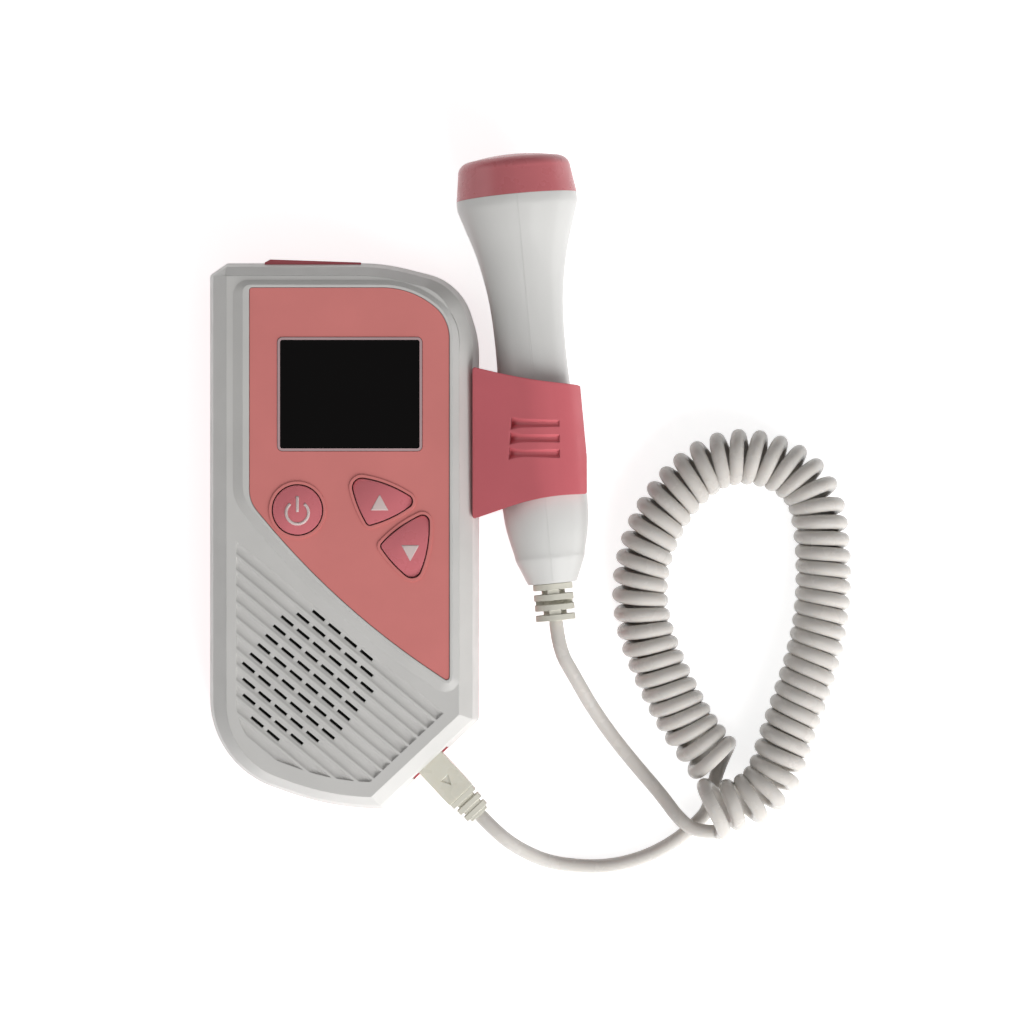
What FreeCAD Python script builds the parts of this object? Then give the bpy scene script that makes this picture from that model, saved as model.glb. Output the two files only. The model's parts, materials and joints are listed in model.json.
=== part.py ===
"""Hand-held fetal doppler monitor: a case that lies on its back, a probe held in a clip on the
case's right side, and a curly cord from the probe to a plug in the case's slanted lower corner.

Frame: +Z up from the back face that the case rests on, +Y towards the display end, +X towards
the probe. The origin is the middle of the back face. Millimetres throughout.
"""
import FreeCAD
import Part
import math
import os
from FreeCAD import Placement, Rotation, Vector

doc = FreeCAD.newDocument("fetal_doppler")
sheet = doc.addObject("Spreadsheet::Sheet", "sizes")

SIZES = {
    # Case outline, seen from the front.
    "case_half_width": 33.5,
    "case_half_length": 68.0,
    "top_turn_in": 23.6,           # the top right corner is three turns: the first, on the top
    "top_turn_radius": 45.0,
    "corner_in": 4.45,             # the second and tightest
    "corner_down": 4.8,
    "corner_radius": 14.8,
    "side_turn_down": 18.8,        # the third, on the right side
    "side_turn_radius": 25.0,
    "low_corner_radius": 23.5,
    "low_corner_rise": 11.1,       # height of the low corner's vertex above the bottom end
    "belly_radius": 72.0,          # gentle curve of the bottom end
    "belly_offset": 3.65,          # the bottom curve's vertex, left of the middle
    "belly_rise": 0.4,
    "chamfer_across": 4.3,         # cut-off top left corner
    "chamfer_along": 3.0,
    "foot_rise": 22.2,             # length of case end taken by the slanted corner
    "foot_angle": 43.1,            # slope of the slanted corner, degrees
    "edge_radius": 1.2,
    # Case section, from the back face up.
    "rear_depth": 12.0,            # back face to parting line
    "bevel_rise": 4.7,             # height of the bevel, from the drafted side to the flat rim
    "side_draft": 1.5,
    "bevel_chamfer": 3.4,          # width of the bevel with the draft, on each side
    "bevel_top": 3.9,
    "bevel_right": 4.8,
    "bevel_foot": 4.7,
    "bevel_bottom": 3.8,
    "bevel_left": 4.95,
    "wall": 2.0,
    "floor_wall": 2.2,
    "heel_radius": 3.0,            # rounding of the back edge
    "lip_reach": 0.75,             # the rear shell's top edge stands out past the front shell
    "lip_left": 18.3,
    "lip_step": 1.4,               # slanted left end of the lip
    "lip_right": 4.2,
    "lip_depth": 3.0,              # how far the lip is let into the case
    "lip_door_gap": 0.7,           # from the door's track to the lip
    "lip_rise": 3.6,               # height of the lip above the parting line
    # Raised bed and the panel inlaid in it.
    "panel_margin_left": 10.65,    # from the case's sides to the panel
    "panel_margin_right": 7.05,
    "panel_margin_top": 6.8,
    "panel_tip_rise": 32.0,        # the panel's low tip, above the bottom end
    "panel_notch": 8.6,            # where the panel's left side meets its slanted side
    "panel_turn_in": 9.9,          # the two turns of the panel's top right corner
    "panel_turn_down": 7.4,
    "panel_turn_radius": 20.0,
    "panel_corner_radius": 10.2,
    "panel_slant_radius": 195.0,   # the slanted side is a shallow arc
    "panel_slant_x": 1.38,
    "panel_slant_y": 17.54,
    "panel_notch_radius": 8.0,
    "panel_edge_radius": 0.8,
    "panel_thickness": 1.2,
    "panel_gap": 0.1,
    "bed_rise": 1.0,               # bed above the rim
    "bed_lip": 0.7,                # white lip round the panel
    "bed_lip_left": 1.6,
    "bed_sink": 1.4,               # depth of the recess that holds the panel
    "slope_top": 1.1,              # width of the slope from rim to bed, on each side
    "slope_right": 1.7,
    "slope_slant": 2.4,
    "slope_left": 2.4,
    # Display.
    "window_x": 1.9,
    "window_y": 34.95,
    "window_width": 34.3,
    "window_height": 26.7,
    "window_radius": 0.6,
    "window_thickness": 1.35,
    "frame_width": 0.6,
    "frame_rise": 0.15,            # frame above the window
    "window_ledge": 2.0,           # shell ledge that the window sits on
    "display_margin": 2.0,
    "display_gap": 0.2,            # between the display and the board, and below the shell
    # Buttons.
    "button_gap": 0.3,
    "button_travel": 0.6,
    "button_proud": 0.9,           # top of the dome above the panel
    "button_flange": 1.0,
    "flange_thickness": 0.8,
    "flange_gap": 0.3,             # flange below the shell's inner face
    "dome_radius": 27.0,
    "rim_ring_width": 0.7,         # raised ring of the panel round a button
    "rim_ring_rise": 0.25,
    "power_x": 10.95,
    "power_y": 6.5,
    "power_radius": 6.05,
    "arrow_big_radius": 2.2,       # the three corners of a rounded triangle
    "arrow_mid_radius": 1.5,
    "arrow_small_radius": 0.9,
    "arrow_side_radius": 30.0,
    "up_big_x": 4.9,
    "up_big_y": 12.0,
    "up_mid_x": 15.65,
    "up_mid_y": 8.6,
    "up_small_x": 6.85,
    "up_small_y": 3.8,
    "down_mid_x": 19.75,
    "down_mid_y": 3.6,
    "down_big_x": 17.15,
    "down_big_y": -7.8,
    "down_small_x": 10.55,
    "down_small_y": -2.4,
    # Speaker and its field of grooves and slots.
    "speaker_x": 8.35,
    "speaker_y": 34.8,
    "speaker_radius": 18.0,
    "speaker_rim": 1.2,
    "speaker_depth": 5.0,
    "basket_radius": 11.0,
    "magnet_radius": 9.0,
    "magnet_height": 4.0,
    "cone_thickness": 0.4,
    "cloth_thickness": 0.4,
    "speaker_gap": 0.2,
    "ring_wall": 1.2,
    "ring_height": 4.6,
    "groove_angle": 39.7,          # slope of the grooves, degrees
    "groove_pitch": 2.98,
    "groove_width": 2.4,
    "groove_depth": 0.6,
    "groove_first": 13.4,          # first groove, from the speaker's middle
    "groove_rows": 12,
    "field_left": 26.05,           # left ends of the grooves
    "field_margin": 2.9,           # from the grooves' ends to the slanted corner's bevel
    "field_margin_low": 3.8,       # and to the bottom bevel
    "field_bed_gap": 0.5,          # from the grooves to the foot of the bed
    "slot_length": 3.8,
    "slot_width": 0.75,
    "slot_pitch": 5.1,
    "slot_rows": 11,
    "slot_reach": 17.65,           # radius of the round of slots
    "slot_shift": 0.2,
    # Cells, their bay and its door.
    "bay_x": 4.0,                  # the bay's middle, left of the case's middle
    "bay_end_margin": 6.9,         # from the bay to the case's top end
    "bay_side_gap": 1.0,           # beside the cells
    "bay_roof_gap": 0.2,
    "bay_wall": 1.5,
    "bay_side_wall": 2.4,
    "bay_roof": 1.2,
    "cell_radius": 7.2,
    "cell_length": 50.5,
    "cell_nub_radius": 2.7,
    "cell_nub_length": 1.0,
    "cell_gap": 0.4,
    "plate_thickness": 0.5,
    "plate_height": 10.0,
    "spring_length": 6.0,          # from its plate to the cell's flat end
    "spring_gap": 0.1,
    "spring_wire": 0.4,            # radius of the wire
    "spring_turns": 3,
    "spring_radius": 4.2,
    "spring_taper": 12.0,
    "door_recess": 0.3,            # door's outer face above the back face
    "door_thickness": 1.9,
    "door_lip": 1.0,               # shell lip that carries the door's tongues
    "door_inset": 0.9,             # from the bay's side to the door's
    "door_tongue": 1.8,
    "door_gap": 0.3,
    "door_overlap": 0.8,           # of the door past the bay's low end
    "door_end_chamfer": 1.3,
    "door_grip_width": 12.0,
    "door_grip_height": 1.0,
    "door_grip_pitch": 2.0,
    "door_grip_start": 8.0,
    "door_grip_depth": 0.6,
    # Boards.
    "board_thickness": 1.6,
    "board_clearance": 2.2,        # above the bay's roof
    "board_drop": 3.0,             # from the shell's inner face to the board
    "board_margin_side": 6.0,
    "board_margin_top": 9.0,
    "board_low": 13.0,
    "board_cut": 16.0,             # cut-off top right corner
    "board_leg_left": 12.5,
    "board_leg_rise": 24.0,        # the leg's low end, above the case's bottom end
    "board_leg_cut": 3.0,
    "board_notch_gap": 0.4,
    "switch_side": 4.5,
    "switch_height": 0.8,
    "plunger_radius": 1.0,
    "plunger_gap": 0.1,            # left between the plunger and the button when it is pressed
    "chip_height": 1.2,
    "processor_x": -14.0,
    "processor_y": -6.0,
    "processor_width": 9.0,
    "processor_length": 9.0,
    "memory_x": 2.0,
    "memory_y": -4.0,
    "memory_width": 12.0,
    "memory_length": 6.0,
    "amplifier_in": 15.5,          # from the case's right side
    "amplifier_up": 43.0,          # and from its bottom end
    "amplifier_width": 7.0,
    "amplifier_length": 12.0,
    "driver_x": 22.9,
    "driver_down": 30.0,           # from the case's top end
    "driver_width": 4.2,
    "driver_length": 9.0,
    # Screws and posts.
    "post_radius": 3.6,
    "boss_radius": 3.0,
    "post_inset": 7.4,             # the two left posts, from the case's side
    "top_post_down": 12.0,
    "middle_post_y": 12.4,
    "corner_post_in": 9.5,         # the post in the top right corner
    "corner_post_down": 18.0,
    "low_post_in": 7.5,            # the post above the slanted corner
    "low_post_up": 30.0,
    "screw_radius": 1.2,
    "screw_head_radius": 2.6,
    "screw_head_height": 2.0,
    "screw_seat": 7.0,             # height of the shelf under a case screw's head
    "screw_length": 13.0,
    "screw_play": 0.05,
    "board_post_radius": 2.2,
    "board_post_inset": 8.3,
    "board_post_top_left": 34.0,   # heights of the four board posts, from the case's middle
    "board_post_top_right": 20.0,
    "board_post_low_left": -5.0,
    "board_post_low_right": -11.0,
    "board_screw_radius": 0.75,
    "board_screw_head": 1.7,
    "board_screw_length": 3.6,
    "holder_screw_radius": 1.0,
    "holder_screw_head": 2.0,
    "holder_screw_length": 3.4,
    "holder_screw_height": 9.0,
    "holder_screw_low": 12.6,
    "holder_screw_high": 32.6,
    # Probe: stations are measured from the top of its head.
    "probe_head_out": 8.4,         # the head's middle, out from the case's side
    "probe_head_y": 94.8,
    "probe_height": 16.0,          # its axis above the back face
    "probe_tilt": 5.31,            # degrees
    "head_radius": 15.0,
    "head_crown_radius": 14.0,
    "head_dome": 1.2,
    "cap_length": 10.7,
    "cap_edge": 3.0,
    "cap_wall": 1.6,
    "head_straight": 12.0,
    "neck_radius": 8.8,
    "neck_start": 43.5,
    "neck_end": 54.0,
    "belly_station": 85.5,
    "probe_belly_radius": 10.6,
    "tail_radius": 6.1,
    "probe_length": 106.9,
    "probe_wall": 2.0,
    "tail_hole_radius": 3.2,
    "boot_length": 9.3,
    "boot_radius": 4.95,
    "boot_core_radius": 2.9,
    "boot_anchor_length": 1.5,
    "boot_anchor_radius": 4.2,
    "boot_play": 0.1,
    "boot_discs": 4,
    "boot_slot": 1.0,              # width of the slots between the discs
    "boot_web": 3.0,               # width of the webs that bridge the slots
    "boot_web_reach": 4.6,
    "piezo_thickness": 1.0,
    "piezo_gap": 0.3,
    "backing_length": 4.5,
    "probe_board_width": 12.2,
    "probe_board_length": 30.0,
    "probe_board_start": 34.0,
    "probe_board_thickness": 1.2,
    # Holder.
    "clip_radius": 10.9,           # inner radius, clear of the probe's belly
    "clip_wall": 1.8,
    "clip_opening": 27.0,          # half the jaws' opening, degrees
    "web_angle": 105.0,            # where the front web leaves the clip's round
    "holder_plate": 1.8,
    "holder_plate_rise": 8.0,      # the plate's top above the probe's axis
    "plate_margin": 1.4,           # from the holder's ends to the plate's
    "holder_low": 4.2,             # the holder's ends along the case's side
    "holder_high": 41.8,
    "holder_reach": 18.35,         # its right edge, right of the probe's head
    "holder_right_low": 10.5,      # the ends of the right edge
    "holder_right_high": 37.15,
    "holder_turn_low_x": 6.85,     # where each end bends, right of the probe's head
    "holder_turn_low_y": 9.95,
    "holder_turn_low_radius": 56.0,
    "holder_turn_high_x": 3.75,
    "holder_turn_high_y": 38.5,
    "holder_turn_high_radius": 110.0,
    "holder_corner_radius": 3.0,
    "holder_edge_radius": 0.6,
    "clip_spare": 4.0,             # clip length past each end, trimmed to the outline
    "grip_width": 0.7,             # floor of a grip groove
    "grip_pitch": 3.7,
    "grip_middle": 23.8,
    "grip_depth": 0.6,
    "grip_span": 58.0,             # degrees
    "grip_turn": 6.0,              # lean of the grooves' middle towards the case, degrees
    # Socket and plug, along the slanted corner's outward normal.
    "socket_slide": 22.8,          # from the foot of the frame's origin, along the corner
    "socket_width": 11.4,
    "socket_height": 11.4,
    "socket_depth": 13.0,
    "socket_recess": 1.0,
    "socket_gap": 0.1,
    "latch_floor": 0.4,
    "plug_width": 7.65,
    "plug_height": 6.6,
    "plug_gap": 0.15,
    "plug_inserted": 9.0,
    "plug_reach": 10.6,            # visible length of the plug
    "latch_width": 3.2,
    "latch_thickness": 0.9,
    "latch_drop": 1.6,
    "latch_spread": 2.5,           # of the latch's tip in front of the slanted corner's face
    "contact_pitch": 1.02,
    "contact_width": 0.5,
    "contact_length": 3.0,
    "contact_play": 0.05,
    "mark_reach": 5.8,             # arrow mark on the plug, out from the slanted corner's face
    "mark_size": 1.2,
    "mark_depth": 0.4,
    "plug_boot_length": 6.8,
    "plug_boot_core": 5.0,
    "plug_boot_ribs": 3,
    "plug_boot_step": 0.2,         # each rib is this much smaller than the one before
    # Cord.
    "cord_diameter": 3.5,
    "exit_run": 7.2,               # straight length of cord out of the probe's boot
    "plug_exit_run": 7.0,          # and out of the plug's
    "coil_diameter": 14.1,         # outside of the curly stretch
}


def fill_sheet():
    """Write every driving size to the sheet, with its name as the cell's alias."""
    for row, (alias, value) in enumerate(SIZES.items(), start=1):
        sheet.set("A%d" % row, alias)
        sheet.set("B%d" % row, str(value))
        sheet.setAlias("B%d" % row, alias)
    doc.recompute()


def size(alias):
    """A driving size, read from the sheet."""
    return float(sheet.get(alias))


fill_sheet()
nodes = []

# Heights that follow from the driving sizes, as sheet expressions, from the back face up.
CELL_AXIS = "(sizes.door_recess + sizes.door_thickness + sizes.cell_gap + sizes.cell_radius)"
BAY_CEILING = "(" + CELL_AXIS + " + sizes.cell_radius + sizes.bay_roof_gap)"
BOARD_BASE = "(" + BAY_CEILING + " + sizes.bay_roof + sizes.board_clearance)"
BOARD_TOP = "(" + BOARD_BASE + " + sizes.board_thickness)"
CEILING = "(" + BOARD_TOP + " + sizes.board_drop)"
RIM = "(" + CEILING + " + sizes.wall)"
SHOULDER = "(" + RIM + " - sizes.bevel_rise)"
BED = "(" + RIM + " + sizes.bed_rise)"
PANEL_BASE = "(" + BED + " - sizes.bed_sink)"
PANEL_TOP = "(" + PANEL_BASE + " + sizes.panel_thickness)"
TRACK_TOP = "(sizes.door_recess + sizes.door_thickness + sizes.door_gap)"
LIP_BASE = "(" + TRACK_TOP + " + sizes.lip_door_gap)"

# The cells' bay: its width, its length and its low end.
BAY_WIDTH = "(4 * sizes.cell_radius + sizes.cell_gap + 2 * sizes.bay_side_gap)"
BAY_LENGTH = "(sizes.cell_length + 2 * sizes.plate_thickness + sizes.spring_length)"
BAY_START = "(sizes.case_half_length - sizes.bay_end_margin - " + BAY_LENGTH + ")"

# Middles of the board's chips: two keep to the case's middle, two to its ends.
CHIP_PLACES = {
    "processor": ("sizes.processor_x", "sizes.processor_y"),
    "memory": ("sizes.memory_x", "sizes.memory_y"),
    "amplifier": (
        "(sizes.case_half_width - sizes.amplifier_in)",
        "(sizes.amplifier_up - sizes.case_half_length)",
    ),
    "driver": ("sizes.driver_x", "(sizes.case_half_length - sizes.driver_down)"),
}


def height(expression):
    """The value of a sheet expression such as CEILING."""
    return float(sheet.evalExpression(expression.replace("sizes.", "")))


# ---------------------------------------------------------------- outlines

def unit(vector):
    """A vector of length one in the same direction."""
    return Vector(vector).normalize()


def turned(vector, degrees):
    """A vector turned about +Z."""
    return Rotation(Vector(0, 0, 1), degrees).multVec(vector)


def polygon(corners):
    """Straight sides through (x, y) corners, closed."""
    points = [Vector(x, y, 0) for x, y in corners]
    return [Part.LineSegment(a, b) for a, b in zip(points, points[1:] + points[:1])]


def rounded(corners):
    """Closed outline of straight sides joined by tangent arcs, from corners (x, y, radius).

    Where two arcs don't fit on the side between them, both are made smaller.
    """
    count = len(corners)
    points = [Vector(x, y, 0) for x, y, _ in corners]
    back = [unit(points[i - 1] - points[i]) for i in range(count)]
    ahead = [unit(points[(i + 1) % count] - points[i]) for i in range(count)]
    halves = [back[i].getAngle(ahead[i]) / 2 for i in range(count)]
    reaches = [corners[i][2] / math.tan(halves[i]) for i in range(count)]
    shares = [1.0] * count
    for i in range(count):
        after = (i + 1) % count
        side = (points[after] - points[i]).Length
        share = 0.98 * side / (reaches[i] + reaches[after])
        shares[i] = min(shares[i], share)
        shares[after] = min(shares[after], share)
    ends = []
    for i in range(count):
        reach = reaches[i] * shares[i]
        radius = corners[i][2] * shares[i]
        middle = points[i] + unit(back[i] + ahead[i]) * (radius / math.sin(halves[i]) - radius)
        ends.append((points[i] + back[i] * reach, middle, points[i] + ahead[i] * reach))
    outline = []
    for i in range(count):
        start, middle, stop = ends[i]
        outline.append(Part.Arc(start, middle, stop))
        outline.append(Part.LineSegment(stop, ends[(i + 1) % count][0]))
    return outline


def inset(corners, distances):
    """Corners moved inwards; distances has one value for the side that starts at each corner."""
    count = len(corners)
    points = [Vector(x, y, 0) for x, y, _ in corners]
    area = sum(points[i - 1].x * points[i].y - points[i].x * points[i - 1].y for i in range(count))
    side = 1 if area > 0 else -1
    least = 0.3
    moved = []
    for i in range(count):
        before = unit(points[i] - points[i - 1])
        after = unit(points[(i + 1) % count] - points[i])
        normal_before = turned(before, 90 * side)
        normal_after = turned(after, 90 * side)
        a = points[i] + normal_before * distances[i - 1]
        b = points[i] + normal_after * distances[i]
        cross = before.x * after.y - before.y * after.x
        along = ((b.x - a.x) * after.y - (b.y - a.y) * after.x) / cross
        corner = a + before * along
        mean = (distances[i - 1] + distances[i]) / 2
        moved.append((corner.x, corner.y, max(corners[i][2] - mean, least)))
    return moved


def rectangle(x, y, width, length):
    """A rectangle about its middle."""
    return polygon([
        (x - width / 2, y - length / 2),
        (x + width / 2, y - length / 2),
        (x + width / 2, y + length / 2),
        (x - width / 2, y + length / 2),
    ])


def rounded_rectangle(x, y, width, length, radius):
    """A rectangle about its middle, with rounded corners."""
    return rounded([
        (x - width / 2, y - length / 2, radius),
        (x + width / 2, y - length / 2, radius),
        (x + width / 2, y + length / 2, radius),
        (x - width / 2, y + length / 2, radius),
    ])


def circle(x, y, radius):
    """A circle in the XY plane."""
    return [Part.Circle(Vector(x, y, 0), Vector(0, 0, 1), radius)]


def low_corners():
    """The case's low corners, clockwise from the slanted corner's upper end."""
    half_width = size("case_half_width")
    half_length = size("case_half_length")
    edge = size("edge_radius")
    foot_x = half_width - size("foot_rise") / math.tan(math.radians(size("foot_angle")))
    return [
        (half_width, size("foot_rise") - half_length, edge),
        (foot_x, -half_length, edge),
        (-size("belly_offset"), size("belly_rise") - half_length, size("belly_radius")),
        (-half_width, size("low_corner_rise") - half_length, size("low_corner_radius")),
    ]


def case_corners():
    """The case's outline at the parting line, clockwise from the cut-off top left corner."""
    half_width = size("case_half_width")
    half_length = size("case_half_length")
    edge = size("edge_radius")
    top = [
        (-half_width, half_length - size("chamfer_along"), edge),
        (size("chamfer_across") - half_width, half_length, edge),
        (half_width - size("top_turn_in"), half_length, size("top_turn_radius")),
        (half_width - size("corner_in"), half_length - size("corner_down"), size("corner_radius")),
        (half_width, half_length - size("side_turn_down"), size("side_turn_radius")),
    ]
    return top + low_corners()


def case_outline(distance):
    """The case's outline, moved inwards by the same distance on every side."""
    corners = case_corners()
    return rounded(inset(corners, [distance] * len(corners)))


def bevels():
    """Width of the bevel with the draft, for each side of case_corners."""
    top, right, bottom = size("bevel_top"), size("bevel_right"), size("bevel_bottom")
    return [
        size("bevel_chamfer"),
        top,
        top,
        right,
        right,
        size("bevel_foot"),
        bottom,
        bottom,
        size("bevel_left"),
    ]


def panel_corners():
    """The front panel's outline, clockwise from its top left corner."""
    edge = size("panel_edge_radius")
    left = size("panel_margin_left") - size("case_half_width")
    right = size("case_half_width") - size("panel_margin_right")
    top = size("case_half_length") - size("panel_margin_top")
    return [
        (left, top, edge),
        (right - size("panel_turn_in"), top, size("panel_turn_radius")),
        (right, top - size("panel_turn_down"), size("panel_corner_radius")),
        (right, size("panel_tip_rise") - size("case_half_length"), edge),
        (-size("panel_slant_x"), -size("panel_slant_y"), size("panel_slant_radius")),
        (left, size("panel_notch"), size("panel_notch_radius")),
    ]


def bed_lips():
    """Width of the white lip along each side of panel_corners."""
    return [size("bed_lip")] * 5 + [size("bed_lip_left")]


def bed_foot():
    """The foot of the raised bed: the panel's outline, grown by the lip and the slope."""
    top, right = size("slope_top"), size("slope_right")
    slant, left = size("slope_slant"), size("slope_left")
    slopes = [top, top, right, slant, slant, left]
    return inset(panel_corners(), [-slope - lip for slope, lip in zip(slopes, bed_lips())])


def arrow_circles():
    """The up and the down button's corner circles, clockwise: (x, y, radius)."""
    circles = {}
    for name, order in (("up", ("big", "mid", "small")), ("down", ("mid", "big", "small"))):
        circles[name] = [
            (size("%s_%s_x" % (name, corner)), size("%s_%s_y" % (name, corner)),
             size("arrow_%s_radius" % corner))
            for corner in order
        ]
    return circles


def button_centres():
    """The middles of the three buttons."""
    centres = {"power": (-size("power_x"), size("power_y"))}
    for name, circles in arrow_circles().items():
        centres[name] = (sum(c[0] for c in circles) / 3, sum(c[1] for c in circles) / 3)
    return centres


def bowed_triangle(circles, grow):
    """Three corner circles joined by shallow tangent arcs, each grown by the same distance."""
    bow = size("arrow_side_radius") + grow
    centres = [Vector(x, y, 0) for x, y, _ in circles]
    radii = [radius + grow for _, _, radius in circles]
    sides = []
    for i in range(3):
        a, b = centres[i], centres[(i + 1) % 3]
        reach_a, reach_b = bow - radii[i], bow - radii[(i + 1) % 3]
        span = (b - a).Length
        along = (reach_a ** 2 - reach_b ** 2 + span ** 2) / (2 * span)
        across = math.sqrt(reach_a ** 2 - along ** 2)
        direction = unit(b - a)
        centre = a + direction * along + turned(direction, -90) * across
        start = centre + unit(a - centre) * bow
        stop = centre + unit(b - centre) * bow
        middle = centre + unit(start + stop - centre * 2) * bow
        sides.append((start, middle, stop))
    outline = []
    for i in range(3):
        start, middle, stop = sides[i]
        next_start = sides[(i + 1) % 3][0]
        corner = centres[(i + 1) % 3]
        top = corner + unit(stop + next_start - corner * 2) * radii[(i + 1) % 3]
        outline.append(Part.Arc(start, middle, stop))
        outline.append(Part.Arc(stop, top, next_start))
    return outline


# ---------------------------------------------------------------- building helpers

def node(item, label):
    """Name a finished sub-part and put it on the list of files."""
    item.Label = label
    nodes.append(item)
    return item


def new_body(name, placement=None):
    """A PartDesign body, in place."""
    body = doc.addObject("PartDesign::Body", name)
    if placement is not None:
        body.Placement = placement
    return body


def sketch(body, name, loops, offset="0", plane="XY_Plane"):
    """A sketch of closed loops on one of the body's own planes, moved along its normal."""
    item = body.newObject("Sketcher::SketchObject", name)
    support = [f for f in body.Origin.OriginFeatures if f.Role == plane][0]
    item.AttachmentSupport = [(support, "")]
    item.MapMode = "FlatFace"
    item.setExpression("AttachmentOffset.Base.z", offset)
    for loop in loops:
        item.addGeometry(loop, False)
    return item


def pad(body, name, loops, base, length, plane="XY_Plane"):
    """A pad from base, length high, both sheet expressions."""
    feature = body.newObject("PartDesign::Pad", name)
    feature.Profile = sketch(body, name + "_sketch", loops, base, plane)
    feature.setExpression("Length", length)
    return feature


def pocket(body, name, loops, top, depth, plane="XY_Plane"):
    """A pocket from top down to depth, both sheet expressions."""
    feature = body.newObject("PartDesign::Pocket", name)
    feature.Profile = sketch(body, name + "_sketch", loops, top, plane)
    feature.setExpression("Length", depth)
    return feature


def loft(body, name, kind, sections):
    """A ruled loft through (loops, offset) sections; kind is Additive or Subtractive."""
    drawn = [
        sketch(body, "%s_sketch%d" % (name, i), loops, offset)
        for i, (loops, offset) in enumerate(sections)
    ]
    feature = body.newObject("PartDesign::%sLoft" % kind, name)
    feature.Profile = drawn[0]
    feature.Sections = drawn[1:]
    feature.Ruled = True
    return feature


def revolution(body, name, loops, angle=360, reverse=False, kind="Revolution"):
    """A profile of (station along Y, radius) turned about the body's Y axis."""
    drawn = sketch(body, name + "_sketch", loops, plane="YZ_Plane")
    feature = body.newObject("PartDesign::" + kind, name)
    feature.Profile = drawn
    feature.ReferenceAxis = (drawn, ["H_Axis"])
    feature.Angle = angle
    feature.Reversed = reverse
    return feature


def box(name, corner, extent, placement=None):
    """A block; corner and extent are three sheet expressions each, in the placement's frame."""
    item = doc.addObject("Part::Box", name)
    for prop, expression in zip(("Length", "Width", "Height"), extent):
        item.setExpression(prop, expression)
    if placement is None:
        for axis, expression in zip("xyz", corner):
            item.setExpression("Placement.Base." + axis, expression)
    else:
        local = Vector(*[height(expression) for expression in corner])
        item.Placement = placement.multiply(Placement(local, Rotation()))
    return item


def cylinder(name, radius, length, base, placement=None, axis=None):
    """A cylinder; radius, length and base are sheet expressions; axis turns it from +Z."""
    item = doc.addObject("Part::Cylinder", name)
    item.setExpression("Radius", radius)
    item.setExpression("Height", length)
    local = Vector(*[height(expression) for expression in base])
    turn = Rotation(Vector(0, 0, 1), axis) if axis is not None else Rotation()
    frame = placement if placement is not None else Placement()
    item.Placement = frame.multiply(Placement(local, turn))
    return item


def joined(name, items):
    """One shape from several that touch, or a group of separate solids."""
    item = doc.addObject("Part::MultiFuse", name)
    item.Shapes = items
    return item


def group(name, items):
    """Separate solids kept side by side."""
    item = doc.addObject("Part::Compound", name)
    item.Links = items
    return item


def cut(name, base, tool):
    """The base without the tool."""
    item = doc.addObject("Part::Cut", name)
    item.Base = base
    item.Tool = tool
    return item


def common(name, base, tool):
    """What the base and the tool share."""
    item = doc.addObject("Part::Common", name)
    item.Base = base
    item.Tool = tool
    return item


# ---------------------------------------------------------------- case

def case_posts():
    """Middles of the four posts that the case screws run through."""
    half_width, half_length = size("case_half_width"), size("case_half_length")
    left = size("post_inset") - half_width
    return [
        (left, half_length - size("top_post_down")),
        (half_width - size("corner_post_in"), half_length - size("corner_post_down")),
        (left, -size("middle_post_y")),
        (half_width - size("low_post_in"), size("low_post_up") - half_length),
    ]


def board_posts():
    """Middles of the four posts that carry the board."""
    side = size("case_half_width") - size("board_post_inset")
    return [
        (-side, size("board_post_top_left")),
        (side, size("board_post_top_right")),
        (-side, size("board_post_low_left")),
        (side, size("board_post_low_right")),
    ]


def holder_screw_stations():
    """The holder's two screws, along the case's side."""
    return [size("holder_screw_low"), size("holder_screw_high")]


def foot_frame():
    """Frame at the middle of the slanted corner, +X pointing straight out of it."""
    top = low_corners()[0]
    angle = size("foot_angle")
    along = turned(Vector(1, 0, 0), angle)
    out = turned(Vector(1, 0, 0), angle - 90)
    reach = Vector(top[0], top[1], 0).dot(out)
    base = out * reach - along * size("socket_slide")
    base.z = size("rear_depth")
    return Placement(base, Rotation(Vector(0, 0, 1), angle - 90))


def foot_rectangle(start, stop, width):
    """A rectangle laid across the slanted corner, between two distances out of its face."""
    frame = foot_frame()
    corners = [(start, -width / 2), (stop, -width / 2), (stop, width / 2), (start, width / 2)]
    points = [frame.multVec(Vector(x, y, 0)) for x, y in corners]
    return polygon([(point.x, point.y) for point in points])


def front_sections(extra, top_insets, top):
    """The case front's outside or inside, as loft sections from the parting line up."""
    return [
        (case_outline(extra), "sizes.rear_depth"),
        (case_outline(size("side_draft") + extra), SHOULDER),
        (rounded(inset(case_corners(), top_insets)), top),
    ]


def heel_sections():
    """The rear shell's outside: a rounded back edge, then a straight side to the parting line."""
    radius = size("heel_radius")
    sections = []
    for angle in (0, 30, 60, 90):
        rise = radius * (1 - math.cos(math.radians(angle)))
        distance = radius * (1 - math.sin(math.radians(angle)))
        sections.append((case_outline(distance), "%.4f" % rise))
    sections.append((case_outline(0), "sizes.rear_depth"))
    return sections


def groove_field():
    """The part of the rim that the grooves cover: inside the bevel and clear of the bed."""
    margin = size("field_margin")
    top = size("case_half_width")
    corners = [(-top, top, 0), (top, top, 0)] + low_corners()
    insets = [0, size("bevel_right") + margin, size("bevel_foot") + margin]
    insets += [size("bevel_bottom") + size("field_margin_low")] * 2 + [top - size("field_left")]
    field = new_body("groove_field")
    base, length = RIM + " - sizes.groove_depth * 2", "sizes.groove_depth * 2.2"
    pad(field, "field_pad", [rounded(inset(corners, insets))], base, length)
    pocket(field, "field_bed", [rounded(inset(bed_foot(), [-size("field_bed_gap")] * 6))],
           RIM + " + sizes.groove_depth", length + " * 2")
    return field


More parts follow.
